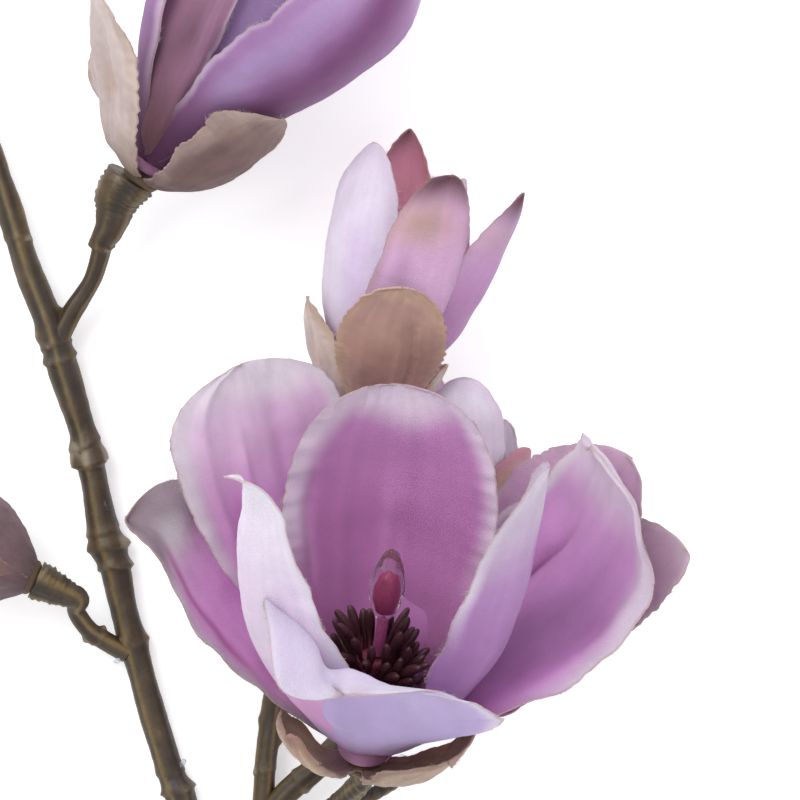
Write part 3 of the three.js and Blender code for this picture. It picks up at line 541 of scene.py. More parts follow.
LONG_SEPALS = [
    sepal(37, 216, 56, 30, (72, 38, 26, 48), (28, 44, 20), (BROWN, BEIGE, BEIGE, BEIGE),
          ((152, 128, 114), (196, 180, 178), (208, 194, 190), (196, 176, 162)), blunt=0.7, wings=(0.45, 1),
          root=4, rise=-3.3, ripple=1.0, folds=((0.2, 0.1, 1.0, 0.2, 0.9), (0.6, 0.1, -0.8, 0.3, 1.0)),
          streaks=(("outer", 0.3, 0.2, (176, 146, 128), 0.8, 0.4, 0.7),)),
    sepal(38, 318, 42, 28, (80, 30, 20, 14), (28, 60, 36), SEPAL_DYE[0],
          ((104, 74, 74), (120, 94, 92), (146, 124, 118), (170, 148, 142)), root=4, rise=-3.3, ripple=1.3,
          widest=0.6, blunt=0.5),
]
UPRIGHT_BUD = dict(at=(374, 402, 17), axis=(0.13, 0.97, 0.12))
DARK_TIP = (102, 58, 74)
UPRIGHT_TEPALS = [
    tepal(41, 226, 67, 29, (48, 18, -14, -18), (80, 60, 40), FRESH,
          ((206, 140, 184), (242, 236, 248), (232, 222, 238), (222, 210, 226)), widest=0.46, blunt=0.55,
          ripple=0.4, streaks=(("outer", 0.35, 0.3, (216, 190, 232), 0.5, 0.25, 0.8),)),
    tepal(42, 90, 67, 21, (30, 6, 0, -2), (60, 50, 40),
          (PINK, (216, 146, 188), (212, 150, 174), (196, 132, 148)),
          ((210, 128, 182), (230, 164, 206), (222, 160, 192), (198, 138, 154)), blunt=0.75,
          streaks=(("both", 0.0, 3.0, (208, 166, 158), 0.5, 0.66, 0.95),
                   ("both", 0.0, 3.0, (196, 138, 156), 0.7, 0.8, 1.3),
                   ("both", 0.0, 3.0, (92, 48, 64), 1.0, 0.9, 1.6))),
    tepal(43, 291, 64, 26, (50, 24, 4, 8), (80, 55, 30), SOFT,
          ((206, 140, 186), (226, 190, 222), (224, 184, 212), (206, 168, 186)), sway=1, hook=16,
          rim_mm=(3, 3), ripple=0.5,
          streaks=(("outer", -0.4, 0.7, (196, 168, 146), 0.8, 0.66, 0.98),
                   ("outer", -0.5, 0.2, (176, 134, 176), 0.7, 0.5, 0.75),
                   ("both", 0.1, 3.0, DARK_TIP, 0.95, 0.84, 1.6))),
    tepal(44, 336, 63, 23, (44, 38, 16, 10), (80, 80, 60), SOFT,
          ((184, 108, 166), (206, 160, 204), (212, 184, 220), (208, 176, 204)), widest=0.45, blunt=0.8,
          ripple=0.4,
          streaks=(("both", 0.3, 2.0, (210, 180, 168), 0.6, 0.7, 0.94),
                   ("both", 0.0, 3.0, DARK_TIP, 0.95, 0.83, 1.6))),
    tepal(45, 30, 58, 22, (40, 12, 0, 0), (60, 50, 30), SOFT,
          (PINK, PALE, (232, 214, 230), (226, 204, 222))),
]
UPRIGHT_SEPALS = [
    sepal(46, 276, 43, 27, (78, 40, 8, 4), (36, 46, 10), SEPAL_DYE[0],
          ((136, 100, 90), (158, 122, 112), (170, 138, 130), TAN), widest=0.6, blunt=0.45, root=4,
          rise=-3.1, ripple=0.9, folds=((0.35, 0.09, 1.0, 0.2, 0.9), (0.1, 0.06, -0.6, 0.3, 0.9))),
    sepal(47, 202, 34, 24, (78, 36, 10, -2), (36, 64, 40), *SEPAL_DYE, widest=0.45, blunt=0.9, root=4,
          rise=-3.1),
    sepal(48, 0, 20, 17, (78, 50, 26, 10), (36, 44, 30), *SEPAL_DYE, root=4, rise=-3.1),
]
REAR_BUD = dict(at=(455, 575, 10.5), axis=(0.12, 0.98, 0.04))
REAR_DYE = (FRESH, (PINK, (224, 208, 226), WHITE, PALE))
REAR_TEPALS = [
    tepal(51, 158, 50, 16, (28, 10, 0, 0), (80, 60, 40), (PINK, PINK, PINK, PALE),
          (PINK, (222, 160, 204), (226, 190, 214), PALE), blunt=0.7),
    tepal(52, 256, 50, 24, (36, 12, 0, 4), (80, 50, 30), *REAR_DYE, widest=0.55, blunt=0.5),
    tepal(53, 330, 36, 24, (46, 24, 6, 10), (80, 60, 40), ROSE,
          (PINK, (214, 186, 150), (206, 168, 168), (204, 140, 166)), blunt=0.5),
    tepal(54, 50, 40, 22, (36, 14, 2, 2), (70, 60, 40), *REAR_DYE),
    tepal(55, 105, 44, 22, (34, 12, 0, 0), (70, 60, 40), *REAR_DYE),
]
REAR_SEPALS = [
    sepal(56, 235, 18, 14, (74, 36, 8, 4), (60, 40, 10), *SEPAL_DYE, root=4, rise=-3, widest=0.6,
          blunt=0.5),
    sepal(57, 10, 18, 14, (74, 40, 10, 6), (60, 50, 30), *SEPAL_DYE, widest=0.45, blunt=0.9, root=4,
          rise=-3),
]
SIDE_BUD = dict(at=(20, 572, 15.6), axis=(-0.88, 0.42, 0.08))
SIDE_TEPALS = [
    tepal(60 + k, t, 36, 24, (40, 10, -6, -8), (90, 80, 60), ROSE,
          ((170, 90, 130), (206, 132, 172), PINK, PALE), widest=0.45, blunt=0.8)
    for k, t in enumerate((270, 30, 150))]
SIDE_SEPALS = [
    sepal(64 + k, t, 28, w, (54, 24, *tip), (40, 60, 40), (BROWN, BEIGE, BEIGE, TAN),
          ((96, 76, 80), (122, 98, 104), DUSK, BROWN), widest=0.55, root=3.6, rise=-3.1)
    for k, (t, w, tip) in enumerate(((230, 28, (20, 36)), (330, 28, (20, 36)), (90, 26, (8, 6))))]
TIP_BUD = dict(at=(-44, 62, 10), axis=(-0.35, 0.93, 0.04))
TIP_TEPALS = [
    tepal(68 + k, t, 34, 18, (40, 10, -8, -14), (95, 90, 80), ROSE, (PLUM, DUSK, LILAC, PALE), widest=0.4,
          blunt=0.8)
    for k, t in enumerate((270, 30, 150))]


# ------------------------------------------------------------------ node groups and materials

def feed(tree, socket, value):
    """Link an output to a socket, or set the socket to a plain value."""
    if isinstance(value, bpy.types.NodeSocket):
        tree.links.new(value, socket)
    else:
        socket.default_value = value


def node(tree, kind, **values):
    """New shader node; a key that starts with in_ feeds the input of that name, others are set."""
    made = tree.nodes.new("ShaderNode" + kind)
    for key, value in values.items():
        if key.startswith("in_"):
            feed(tree, made.inputs[key[3:].replace("_", " ")], value)
        else:
            setattr(made, key, value)
    return made


def maths(tree, operation, a, b=0.0):
    """Math node on two outputs or numbers; returns its output."""
    made = node(tree, "Math", operation=operation)
    feed(tree, made.inputs[0], a)
    feed(tree, made.inputs[1], b)
    return made.outputs[0]


def colour_mix(tree, mode, amount, a, b):
    """Colour mix node; amount, a and b are outputs or values; returns its result."""
    made = node(tree, "Mix", data_type="RGBA", blend_type=mode)
    for number, value in ((0, amount), (6, a), (7, b)):
        feed(tree, made.inputs[number], value)
    return made.outputs[2]


def new_group(name, ins, outs):
    """Node group with named inputs, each with its starting value, and named outputs; returns it,
    the outputs of its input node and the inputs of its output node."""
    tree = bpy.data.node_groups.new(name, "ShaderNodeTree")
    for label, value in ins:
        socket = tree.interface.new_socket(label, in_out="INPUT", socket_type="NodeSocketFloat")
        socket.default_value = value
    for label, kind in outs:
        tree.interface.new_socket(label, in_out="OUTPUT", socket_type="NodeSocket" + kind)
    return tree, tree.nodes.new("NodeGroupInput").outputs, tree.nodes.new("NodeGroupOutput").inputs


def cloth_weave_group():
    """Weave of the cloth: two sines across each other on the cloth map, with slubs; gives a shade
    to multiply the dye by and a height for the bump."""
    tree, given, result = new_group("cloth_weave", [("Threads", 1050.0), ("Mottle", 0.06)],
                                    [("Shade", "Color"), ("Height", "Float")])
    uv = node(tree, "UVMap", uv_map="cloth").outputs[0]
    split = node(tree, "SeparateXYZ", in_Vector=uv)
    slub = node(tree, "TexNoise", in_Vector=uv, in_Scale=160.0, in_Detail=3.0, in_Roughness=0.6)
    cloud = node(tree, "TexNoise", in_Vector=uv, in_Scale=16.0, in_Detail=4.0, in_Roughness=0.55)
    slub, cloud = slub.outputs[0], cloud.outputs[0]
    sway = maths(tree, "MULTIPLY", slub, 2.4)
    threads = []
    for axis in (0, 1):
        turn = maths(tree, "MULTIPLY", split.outputs[axis], given["Threads"])
        threads.append(maths(tree, "SINE", maths(tree, "ADD", turn, sway)))
    weave = maths(tree, "MULTIPLY", *threads)
    grain = maths(tree, "MULTIPLY", maths(tree, "SUBTRACT", slub, 0.5), 0.8)
    spread = maths(tree, "ADD", maths(tree, "SUBTRACT", cloud, 0.5), grain)
    spread = maths(tree, "ADD", spread, maths(tree, "MULTIPLY", weave, 0.34))
    value = maths(tree, "ADD", maths(tree, "MULTIPLY", spread, given["Mottle"]), 1.0)
    shade = node(tree, "CombineColor", in_Red=value, in_Green=value, in_Blue=value)
    height = maths(tree, "ADD", maths(tree, "MULTIPLY", weave, 0.45), maths(tree, "MULTIPLY", slub, 0.9))
    feed(tree, result["Shade"], shade.outputs[0])
    feed(tree, result["Height"], height)
    return tree


def speckle_group():
    """Coarse and fine noise on the object's own coordinates, in metres: two masks and a height."""
    tree, given, result = new_group("moulded_speckle", [("Coarse", 180.0), ("Fine", 900.0)],
                                    [("Mask", "Float"), ("Fine Mask", "Float"), ("Height", "Float")])
    own = node(tree, "TexCoord").outputs["Object"]
    coarse = node(tree, "TexNoise", in_Vector=own, in_Scale=given["Coarse"], in_Detail=5.0, in_Roughness=0.6)
    fine = node(tree, "TexNoise", in_Vector=own, in_Scale=given["Fine"], in_Detail=3.0, in_Roughness=0.7)
    coarse, fine = coarse.outputs[0], fine.outputs[0]
    mask = node(tree, "MapRange", in_Value=coarse, in_From_Min=0.36, in_From_Max=0.64)
    fine_mask = node(tree, "MapRange", in_Value=fine, in_From_Min=0.42, in_From_Max=0.7)
    height = maths(tree, "ADD", maths(tree, "MULTIPLY", coarse, 0.7), maths(tree, "MULTIPLY", fine, 0.3))
    feed(tree, result["Mask"], mask.outputs[0])
    feed(tree, result["Fine Mask"], fine_mask.outputs[0])
    feed(tree, result["Height"], height)
    return tree


CLOTH_WEAVE = cloth_weave_group()
SPECKLE = speckle_group()


def blank_material(name):
    """Material with an empty node tree, and the input that its shader feeds."""
    material = bpy.data.materials.new(name)
    material.use_nodes = True
    tree = material.node_tree
    tree.nodes.clear()
    return material, tree, node(tree, "OutputMaterial").inputs[0]


def use_group(tree, group, **values):
    """Node group placed in a material with its own values; returns its outputs."""
    made = tree.nodes.new("ShaderNodeGroup")
    made.node_tree = group
    for key, value in values.items():
        made.inputs[key].default_value = value
    return made.outputs


def cloth_material(name, glow, sheen, mottle):
    """Woven petal cloth: the dye times the weave, a soft sheen, and some light through the sheet."""
    material, tree, surface = blank_material(name)
    weave = use_group(tree, CLOTH_WEAVE, Mottle=mottle)
    dye = node(tree, "VertexColor", layer_name="tint").outputs[0]
    colour = colour_mix(tree, "MULTIPLY", 1.0, dye, weave["Shade"])
    bump = node(tree, "Bump", in_Strength=0.45, in_Distance=0.00025, in_Height=weave["Height"]).outputs[0]
    body = node(tree, "BsdfPrincipled", in_Base_Color=colour, in_Normal=bump, in_Roughness=0.82,
                in_Sheen_Weight=sheen, in_Sheen_Roughness=0.5, in_Specular_IOR_Level=0.25)
    through = node(tree, "BsdfTranslucent", in_Color=colour, in_Normal=bump)
    both = node(tree, "MixShader")
    for socket, value in zip(both.inputs, (glow, body.outputs[0], through.outputs[0])):
        feed(tree, socket, value)
    feed(tree, surface, both.outputs[0])
    return material


def moulded_material(name, shades, rough, coarse, fine, bump_mm):
    """Moulded plastic: its tint times three grey shades mixed by coarse and fine speckle, and a bump."""
    material, tree, surface = blank_material(name)
    marks = use_group(tree, SPECKLE, Coarse=coarse, Fine=fine)
    greys = [(shade, shade, shade, 1.0) for shade in shades]
    patches = colour_mix(tree, "MIX", marks["Mask"], greys[0], greys[1])
    dots = maths(tree, "MULTIPLY", marks["Fine Mask"], 0.45)
    speckle = colour_mix(tree, "MIX", dots, patches, greys[2])
    tint = node(tree, "VertexColor", layer_name="tint").outputs[0]
    colour = colour_mix(tree, "MULTIPLY", 1.0, tint, speckle)
    shine = maths(tree, "ADD", maths(tree, "MULTIPLY", marks["Fine Mask"], 0.15), rough)
    bump = node(tree, "Bump", in_Strength=0.7, in_Distance=bump_mm * MM, in_Height=marks["Height"])
    body = node(tree, "BsdfPrincipled", in_Base_Color=colour, in_Roughness=shine, in_Normal=bump.outputs[0])
    feed(tree, surface, body.outputs[0])
    return material


def clear_material(name, colour, rough, bend):
    """Clear moulded plastic with a faint tint."""
    material, tree, surface = blank_material(name)
    marks = use_group(tree, SPECKLE, Coarse=260.0, Fine=1200.0)
    bump = node(tree, "Bump", in_Strength=0.06, in_Distance=0.0003, in_Height=marks["Height"])
    body = node(tree, "BsdfPrincipled", in_Base_Color=(*linear(colour), 1.0), in_Roughness=rough,
                in_IOR=bend, in_Transmission_Weight=0.96, in_Normal=bump.outputs[0])
    feed(tree, surface, body.outputs[0])
    return material


PETAL_CLOTH = cloth_material("petal_cloth", 0.42, 0.3, 0.18)
SEPAL_CLOTH = cloth_material("sepal_cloth", 0.16, 0.2, 0.22)
BARK = moulded_material("moulded_bark", (0.66, 1.0, 1.36), 0.44, 240.0, 1300.0, 0.4)
CLUB = moulded_material("stamen_plastic", (0.7, 1.0, 1.35), 0.36, 500.0, 2200.0, 0.12)
CORE = moulded_material("pistil_core", (0.75, 1.0, 1.4), 0.3, 300.0, 900.0, 0.1)
DROP = clear_material("pistil_clear", (250, 236, 244), 0.04, 1.22)
FLASH = clear_material("moulding_flash", (226, 232, 240), 0.3, 1.3)


# ------------------------------------------------------------------ blooms

SEAT_RIM = 0.8
TEPAL_THICK = 0.36
SEPAL_THICK = 0.45
COLLAR_DYE = (96, 76, 58)


def disc_profile(radius, low, high):
    """Round-edged disc on the axis."""
    return [(0, low), (radius - SEAT_RIM, low), (radius, low + SEAT_RIM), (radius, high - SEAT_RIM / 2),
            (radius - SEAT_RIM, high), (0, high)]


def add_bloom(key, bloom, tepals, sepals, seat, collar, grid=(110, 81), apart=False):
    """Blades of a bloom with the seat and collar that hold them, and their loose threads; apart
    makes a piece of each tepal."""
    made = [blade_part(bloom, shape, TEPAL_THICK, grid) for shape in tepals]
    parts = [part for part, _ in made]
    hub = turned_part(bloom, disc_profile(*seat), dye=PINK)
    if apart:
        for k, part in enumerate(parts[1:]):
            new_piece(f"{key}_tepal_{k + 2}", [part], PETAL_CLOTH, f"{key}_tepals")
        new_piece(f"{key}_tepal_1", [parts[0], hub], PETAL_CLOTH, f"{key}_tepals")
    else:
        new_piece(f"{key}_tepal_cloth", [*parts, hub], PETAL_CLOTH, f"{key}_tepals")
    if sepals:
        leaves = [blade_part(bloom, shape, SEPAL_THICK, grid) for shape in sepals]
        ring = turned_part(bloom, disc_profile(*collar), dye=COLLAR_DYE)
        pieces = [*(part for part, _ in leaves), ring]
        new_piece(f"{key}_sepal_cloth", pieces, SEPAL_CLOTH, f"{key}_sepals")
        made += leaves
    threads = thread_part([rim for _, rim in made], seed=tepals[0]["seed"])
    new_piece(f"{key}_threads", [threads], PETAL_CLOTH, None)


add_bloom("open_bloom", OPEN_BLOOM, OPEN_TEPALS, OPEN_SEPALS, (6.6, -3.2, 1.5), (4.8, -6.8, -4.4),
          apart=True)
add_bloom("long_bloom", LONG_BLOOM, LONG_TEPALS, LONG_SEPALS, (5.4, -1.2, 1.5), (4.8, -4.7, -2.1),
          (100, 71))
add_bloom("upright_bud", UPRIGHT_BUD, UPRIGHT_TEPALS, UPRIGHT_SEPALS, (4.6, -1.2, 2.0), (4.8, -4.2, -2.0),
          (90, 61))
add_bloom("rear_bud", REAR_BUD, REAR_TEPALS, REAR_SEPALS, (4.2, -1.2, 1.6), (4.4, -4.2, -2.0),
          (60, 45))
add_bloom("side_bud", SIDE_BUD, SIDE_TEPALS, SIDE_SEPALS, (3.6, -1.2, 2.5), (4.4, -4.2, -2.0),
          (80, 61))
add_bloom("tip_bud", TIP_BUD, TIP_TEPALS, [], (3.4, -1.2, 2.5), None, (60, 45))


# ------------------------------------------------------------------ stamens and pistil

COLUMN = [(0, 1.8), (2.2, 1.8), (4.8, 8), (4.8, 18), (3.4, 26), (0, 26)]
# Rings of clubs: how many, height of the foot, lean in degrees, length.
STAMEN_RINGS = [(12, 7.5, 47, 12.5), (13, 10.5, 44, 14.5), (14, 13.5, 41, 15.5), (13, 16.5, 36, 16),
                (12, 19.5, 31, 15.5), (10, 22.5, 24, 14.5)]
CLUB_LONG = np.array([0.02, 0.25, 0.45, 0.55, 0.64, 0.74, 0.84, 0.92, 0.97, 0.995])
CLUB_RADIUS = np.array([0.5, 0.42, 0.5, 0.72, 0.95, 1.08, 1.05, 0.86, 0.6, 0.25])
CLUB_SIDES = 10
CLUB_RIDGE = 0.09
CLUB_BOW = 1.3
FOOT_OUT = 2
# How uneven the clubs are: degrees of lean, share of the length, share of the thickness.
UNEVEN_LEAN = 9
UNEVEN_LENGTH = 0.16
UNEVEN_THICK = 0.14
CLUB_FOOT = (116, 44, 64)
CLUB_HEAD = (74, 40, 44)
STALK_DYE = (172, 86, 130)
CORE_DYE = (146, 0, 80)
PISTIL_STAND = dict(at=OPEN_BLOOM["at"], axis=(0.11, 0.8, 0.6))
PISTIL_STALK = [(0, 26.6), (1.4, 26.6), (1.3, 31), (1.3, 38), (0, 39.5)]
PISTIL_CORE = [(0, 39.4), (1.3, 39.9), (2.3, 43), (2.4, 46.5), (1.6, 50), (0, 52)]
PISTIL_DROP = [(0, 37.6), (1.9, 38), (3.3, 41.5), (4.0, 46), (3.9, 49), (3.0, 53), (1.6, 56.6), (0, 58)]


def add_stamens(name, bloom):
    """Clubs in rings on the column: a thin bent foot and a swollen ridged head, each a turned grid;
    two sines of the club's number and its ring's height make the clubs uneven."""
    origin, along, side, front = bloom_frame(bloom)
    sides, rows = CLUB_SIDES, len(CLUB_LONG)
    angle = np.linspace(0, 2 * np.pi, sides, endpoint=False)
    shade = mix(linear(CLUB_FOOT), linear(CLUB_HEAD), smooth((CLUB_LONG - 0.1) / 0.45))
    parts = [turned_part(bloom, COLUMN, 32, 0.05, dye=CLUB_FOOT)]
    for count, height, out, length in STAMEN_RINGS:
        k = np.arange(count)
        wobble = np.sin(k * 12.9898 + height * 78.233) * 0.5
        other = np.sin(k * 7.31 + height * 5.17)
        turn = (k + 0.5 * (round(height * 2) % 2) + 0.4 * wobble) / count * 2 * np.pi
        outward = np.cos(turn)[:, None] * side + np.sin(turn)[:, None] * front
        lean = DEG * (out + UNEVEN_LEAN * wobble)
        way = np.cos(lean)[:, None] * along + np.sin(lean)[:, None] * outward
        across = np.cross(along, outward)
        raised = np.cross(way, across)
        foot = origin + height * along + outward * FOOT_OUT
        reach = length * (1 + UNEVEN_LENGTH * other)
        bow = CLUB_BOW * np.sin(np.pi * CLUB_LONG)[None, :, None] * raised[:, None] * other[:, None, None]
        centre = foot[:, None] + (CLUB_LONG * reach[:, None])[..., None] * way[:, None] + bow
        radius = CLUB_RADIUS[None, :, None] * (1 + CLUB_RIDGE * np.cos(5 * angle))
        radius = radius * (1 + UNEVEN_THICK * wobble[:, None, None])
        ring = (radius * np.cos(angle))[..., None] * across[:, None, None]
        ring = ring + (radius * np.sin(angle))[..., None] * raised[:, None, None]
        rings = (centre[:, :, None] + ring).reshape(count, -1, 3)
        points = np.concatenate([rings, foot[:, None], (foot + way * reach[:, None])[:, None]], 1)
        faces = tube_faces(rows, sides)[None]
        step = np.arange(count)[:, None, None] * (rows * sides + 2)
        tint = np.concatenate([np.repeat(shade, sides, 0), shade[:1], shade[-1:]])
        flat_points = points.reshape(-1, 3)
        parts.append(dict(points=flat_points, faces=np.where(faces < 0, -1, faces + step).reshape(-1, 4),
                          tint=np.tile(tint, (count, 1)),
                          maps={"cloth": flat_points[:, :2] * CLOTH_MAP_SCALE}))
    new_piece(name, parts, CLUB, name)


def add_pistil(bloom_node):
    """Stalk and ridged core turned on the pistil's axis, inside a clear drop with shallow ridges."""
    stalk = turned_part(PISTIL_STAND, PISTIL_STALK, 24, dye=STALK_DYE)
    core = turned_part(PISTIL_STAND, PISTIL_CORE, 32, 0.04, 3, dye=CORE_DYE)
    drop = turned_part(PISTIL_STAND, PISTIL_DROP, 56, 0.045, 8)
    new_piece(f"{bloom_node}_core", [stalk, core], CORE, bloom_node)
    new_piece(f"{bloom_node}_drop", [drop], DROP, bloom_node)


add_stamens("open_bloom_stamens", OPEN_BLOOM)
add_pistil("open_bloom_pistil")


# ------------------------------------------------------------------ stems

MAIN_STEM = [
    (300, 1500, 3.6, 4.3), (285, 1300, 3.5, 4.2), (262, 1130, 3.4, 4.1), (240, 1000, 3.3, 4.0),
    (213, 890, 3.1, 3.5), (184, 806, 3.0, 3.3), (178, 790, 3.3, 3.7), (172, 776, 3.0, 3.3),
    (147, 695, 3.1, 3.3), (124, 610, 3.4, 3.4), (114, 566, 3.8, 3.7), (108, 546, 4.1, 4.0),
    (103, 526, 4.2, 3.6), (92, 470, 4.6, 3.2), (87, 450, 4.7, 3.2), (83, 432, 4.8, 3.1),
    (62, 366, 5.3, 3.6), (55, 340, 5.5, 3.5), (26, 262, 6, 3.2), (-5, 165, 7, 3.0), (-30, 100, 8.6, 2.6),
]
LONG_BLOOM_STEM = [
    (57, 345, 5.5, 2.6), (72, 312, 7, 2.4), (92, 280, 9, 2.1), (101, 252, 11, 2.3), (103, 242, 11.8, 3.0),
]
SIDE_BUD_STEM = [(127, 652, 4, 2.4), (104, 640, 6.5, 2.3), (88, 629, 9, 2.1), (76, 611, 11.5, 2.0)]
MIDDLE_STEM = [
    (243, 1010, 4, 3.2), (250, 940, 4, 3.1), (261, 870, 4, 2.9), (264, 790, 4, 2.7), (268, 740, 4, 2.6),
    (276, 685, 4, 2.5), (300, 600, 5, 2.4), (335, 500, 9, 2.4), (360, 444, 13.5, 3.0),
]
REAR_BUD_STEM = [
    (256, 905, 4, 3.0), (262, 830, 5, 3.0), (285, 795, 6, 3.0), (322, 762, 7.5, 3.0),
    (362, 714, 8, 2.8), (412, 656, 9.2, 2.8), (438, 622, 9.8, 3.2),
]
OPEN_BLOOM_STEM = [
    (268, 880, 5, 3.0), (300, 846, 9, 2.8), (322, 820, 15, 2.6), (338, 803, 21.5, 2.5), (350, 793, 27, 2.5),
]
SPUR = [
    (318, 828, 10, 2.2), (345, 812, 9, 2.0), (375, 793, 9, 1.9), (400, 776, 10, 1.8), (415, 764, 11, 2.4),
]
# Stations of the knob behind a holder: how far behind its lower face, and its radius as a share.
KNOB_STEPS = [(11, 0.58), (8, 0.7), (5, 0.84), (2.5, 0.94), (1, 1), (0, 0.97)]
KNOB_OVER_FROM = 5
KNOB_OVER_LENGTH = 9
SEAT_GAP = 0.02
STEM_STEP = 0.5
STEM_SIDES = 44
RINGED_LENGTH = 12
RINGED_FADE = 3
SEAM_WIDE = 0.1
SEAM_RISE = 0.035
# Knobs: lower face of the holder, radius, stretch along the axis, and how far it is set over.
KNOBS = {
    "open": (-6.8, 4.4, 0.5, (0, 0)),
    "long": (-4.7, 5.9, 1.25, (-2.0, 1.3)),
    "upright": (-4.2, 4.8, 1, (0, 0)),
    "rear": (-4.2, 4.4, 1, (0, 0)),
    "side": (-4.2, 4.4, 1, (0, 0)),
    "tip": (-1.2, 3.4, 1, (0, 0)),
}
BARK_MAIN = (74, 58, 35)
BARK_DARK = (44, 34, 25)
BARK_KHAKI = (112, 94, 54)
BARK_SCUFF = (150, 138, 118)


def stem_line(nodes, bloom, knob):
    """Centripetal Catmull-Rom line through the nodes, with evenly blended radii; a stem that
    carries a bloom ends along the bloom's axis."""
    centres = [place(*n[:3]) for n in nodes]
    radii = [n[3] for n in nodes]
    if bloom:
        origin, along = bloom_frame(bloom)[:2]
        low, wide, stretch, over = KNOBS[knob]
        for back, scale in KNOB_STEPS:
            behind = back * stretch
            share = 1 - smooth((behind - KNOB_OVER_FROM) / KNOB_OVER_LENGTH)
            centres.append(origin + along * (low - SEAT_GAP - behind) + np.array([*over, 0]) * share)
            radii.append(wide * scale)
    p = np.array(centres)
    p = np.concatenate([[2 * p[0] - p[1]], p, [2 * p[-1] - p[-2]]])
    line, sizes = [], []
    for k in range(1, len(p) - 2):
        gaps = np.linalg.norm(np.diff(p[k - 1:k + 3], axis=0), axis=1) ** 0.5
        span = (p[k + 1] - p[k]) / gaps[1]
        a = (p[k] - p[k - 1]) / gaps[0] - (p[k + 1] - p[k - 1]) / (gaps[0] + gaps[1]) + span
        b = span - (p[k + 2] - p[k]) / (gaps[1] + gaps[2]) + (p[k + 2] - p[k + 1]) / gaps[2]
        a, b = a * gaps[1], b * gaps[1]
        parts = max(2, int(round(gaps[1] ** 2 / STEM_STEP)))
        t = (np.arange(parts) / parts)[:, None]
        line.append((2 * t ** 3 - 3 * t ** 2 + 1) * p[k] + (t ** 3 - 2 * t ** 2 + t) * a
                    + (3 * t ** 2 - 2 * t ** 3) * p[k + 1] + (t ** 3 - t ** 2) * b)
        sizes.append(radii[k - 1] + (radii[k] - radii[k - 1]) * smooth(t[:, 0]))
    line.append(p[-2:-1])
    sizes.append(np.array([radii[-1]]))
    return np.concatenate(line), np.concatenate(sizes)


def add_stem(name, seed, nodes, bloom=None, knob=None, ledges=(), bumps=(), rough=0.045, screw=0.0):
    """Moulded stem: the tube's radius carries long wrinkles, lumps and a seam on each side; a ledge
    at a sketch point has a steep lower edge and runs out along the stem; a bump is a bell at a
    sketch point and an angle from level; a knob is ringed; worn high places are pale."""
    line, radius = stem_line(nodes, bloom, knob)
    run = np.concatenate([[0], np.cumsum(np.linalg.norm(np.diff(line, axis=0), axis=1))])
    tangent = unit(np.gradient(line, axis=0))
    level = unit(np.cross(np.array([0, 0, 1.0]), tangent))
    raised = np.cross(tangent, level)
    angle = np.linspace(0, 2 * np.pi, STEM_SIDES, endpoint=False)[None]
    s = run[:, None]

    def station(x, y):
        return run[np.argmin(np.hypot(*(line[:, :2] - place(x, y, 5)[:2]).T))]

    lump = waves(seed, s * 0.33 + 3 * np.cos(angle), 3 * np.sin(angle) + s * 0.1, 0.4, 1.6, 9)
    wrinkle = waves(seed + 9, 9 * np.cos(angle) + s * 0.07, 9 * np.sin(angle) + s * 0.05, 0.4, 1.5, 12)
    grain = waves(seed + 19, s * 1.6 + 4 * np.cos(angle), 4 * np.sin(angle), 0.3, 1.6, 12)
    rise = rough * lump + 0.02 * wrinkle + 0.012 * grain
    for x, y, high, wide in ledges:
        far = s - station(x, y) - 0.7 * np.sin(angle + seed + x) - 0.25 * wrinkle
        edge = np.where(far < 0, np.exp(-(far / 0.35) ** 2), np.exp(-(far / wide) ** 2))
        rise = rise + high / radius[:, None] * edge * (1 + 0.35 * lump)
    for x, y, turn, high, wide in bumps:
        around = (angle - turn * DEG + np.pi) % (2 * np.pi) - np.pi
        far = np.hypot(s - station(x, y), around * radius[:, None])
        rise = rise + high / radius[:, None] * np.exp(-(far / wide) ** 2)
    rise = rise + screw * np.sin(s * 2.6 + angle + 0.8 * lump)
    seam = np.exp(-((angle - 0.25) / SEAM_WIDE) ** 2)
    seam = seam + np.exp(-((angle - np.pi - 0.15) / SEAM_WIDE) ** 2)
    rise = rise + SEAM_RISE * seam
    if bloom:
        ringed = smooth((s - run[-1] + RINGED_LENGTH) / RINGED_FADE)
        bands = np.sin(s * 4.4 + 1.6 * np.cos(angle + seed) + 1.5 * lump)
        rise = rise + ringed * (0.032 * bands * (1 + 0.7 * wrinkle) + 0.035 * np.abs(wrinkle) + 0.02 * grain)
    r = radius[:, None] * (1 + rise)
    points = (line[:, None] + (r * np.cos(angle))[..., None] * level[:, None]
              + (r * np.sin(angle))[..., None] * raised[:, None])
    points[..., 2] = np.maximum(points[..., 2], 0.0)
    streak = waves(seed + 29, 6 * np.cos(angle) + s * 0.02, 6 * np.sin(angle), 0.5, 2.0, 9)
    tone = np.broadcast_to(linear(BARK_MAIN), rise.shape + (3,))
    tone = mix(tone, linear(BARK_KHAKI), smooth(streak * 0.5 + 0.1))
    tone = mix(tone, linear(BARK_DARK), smooth(0.35 - 5 * rise - 0.4 * streak))
    patch = smooth(0.3 + waves(seed + 39, s * 0.5, 5 * angle, 0.3, 1.2))
    worn = smooth((rise - 0.06 + 0.02 * grain) / 0.12) * patch
    tone = mix(tone, linear(BARK_SCUFF), 0.6 * worn)
    points = np.concatenate([points.reshape(-1, 3), line[:1], line[-1:]])
    tint = np.concatenate([tone.reshape(-1, 3), tone[0, :1], tone[-1, :1]])
    faces = tube_faces(len(line), STEM_SIDES)
    flat = np.arange(len(faces) - 2 * STEM_SIDES, len(faces))
    part = dict(points=points, faces=faces, flat=flat, tint=tint, maps={})
    new_piece(name, [part], BARK, "branch")


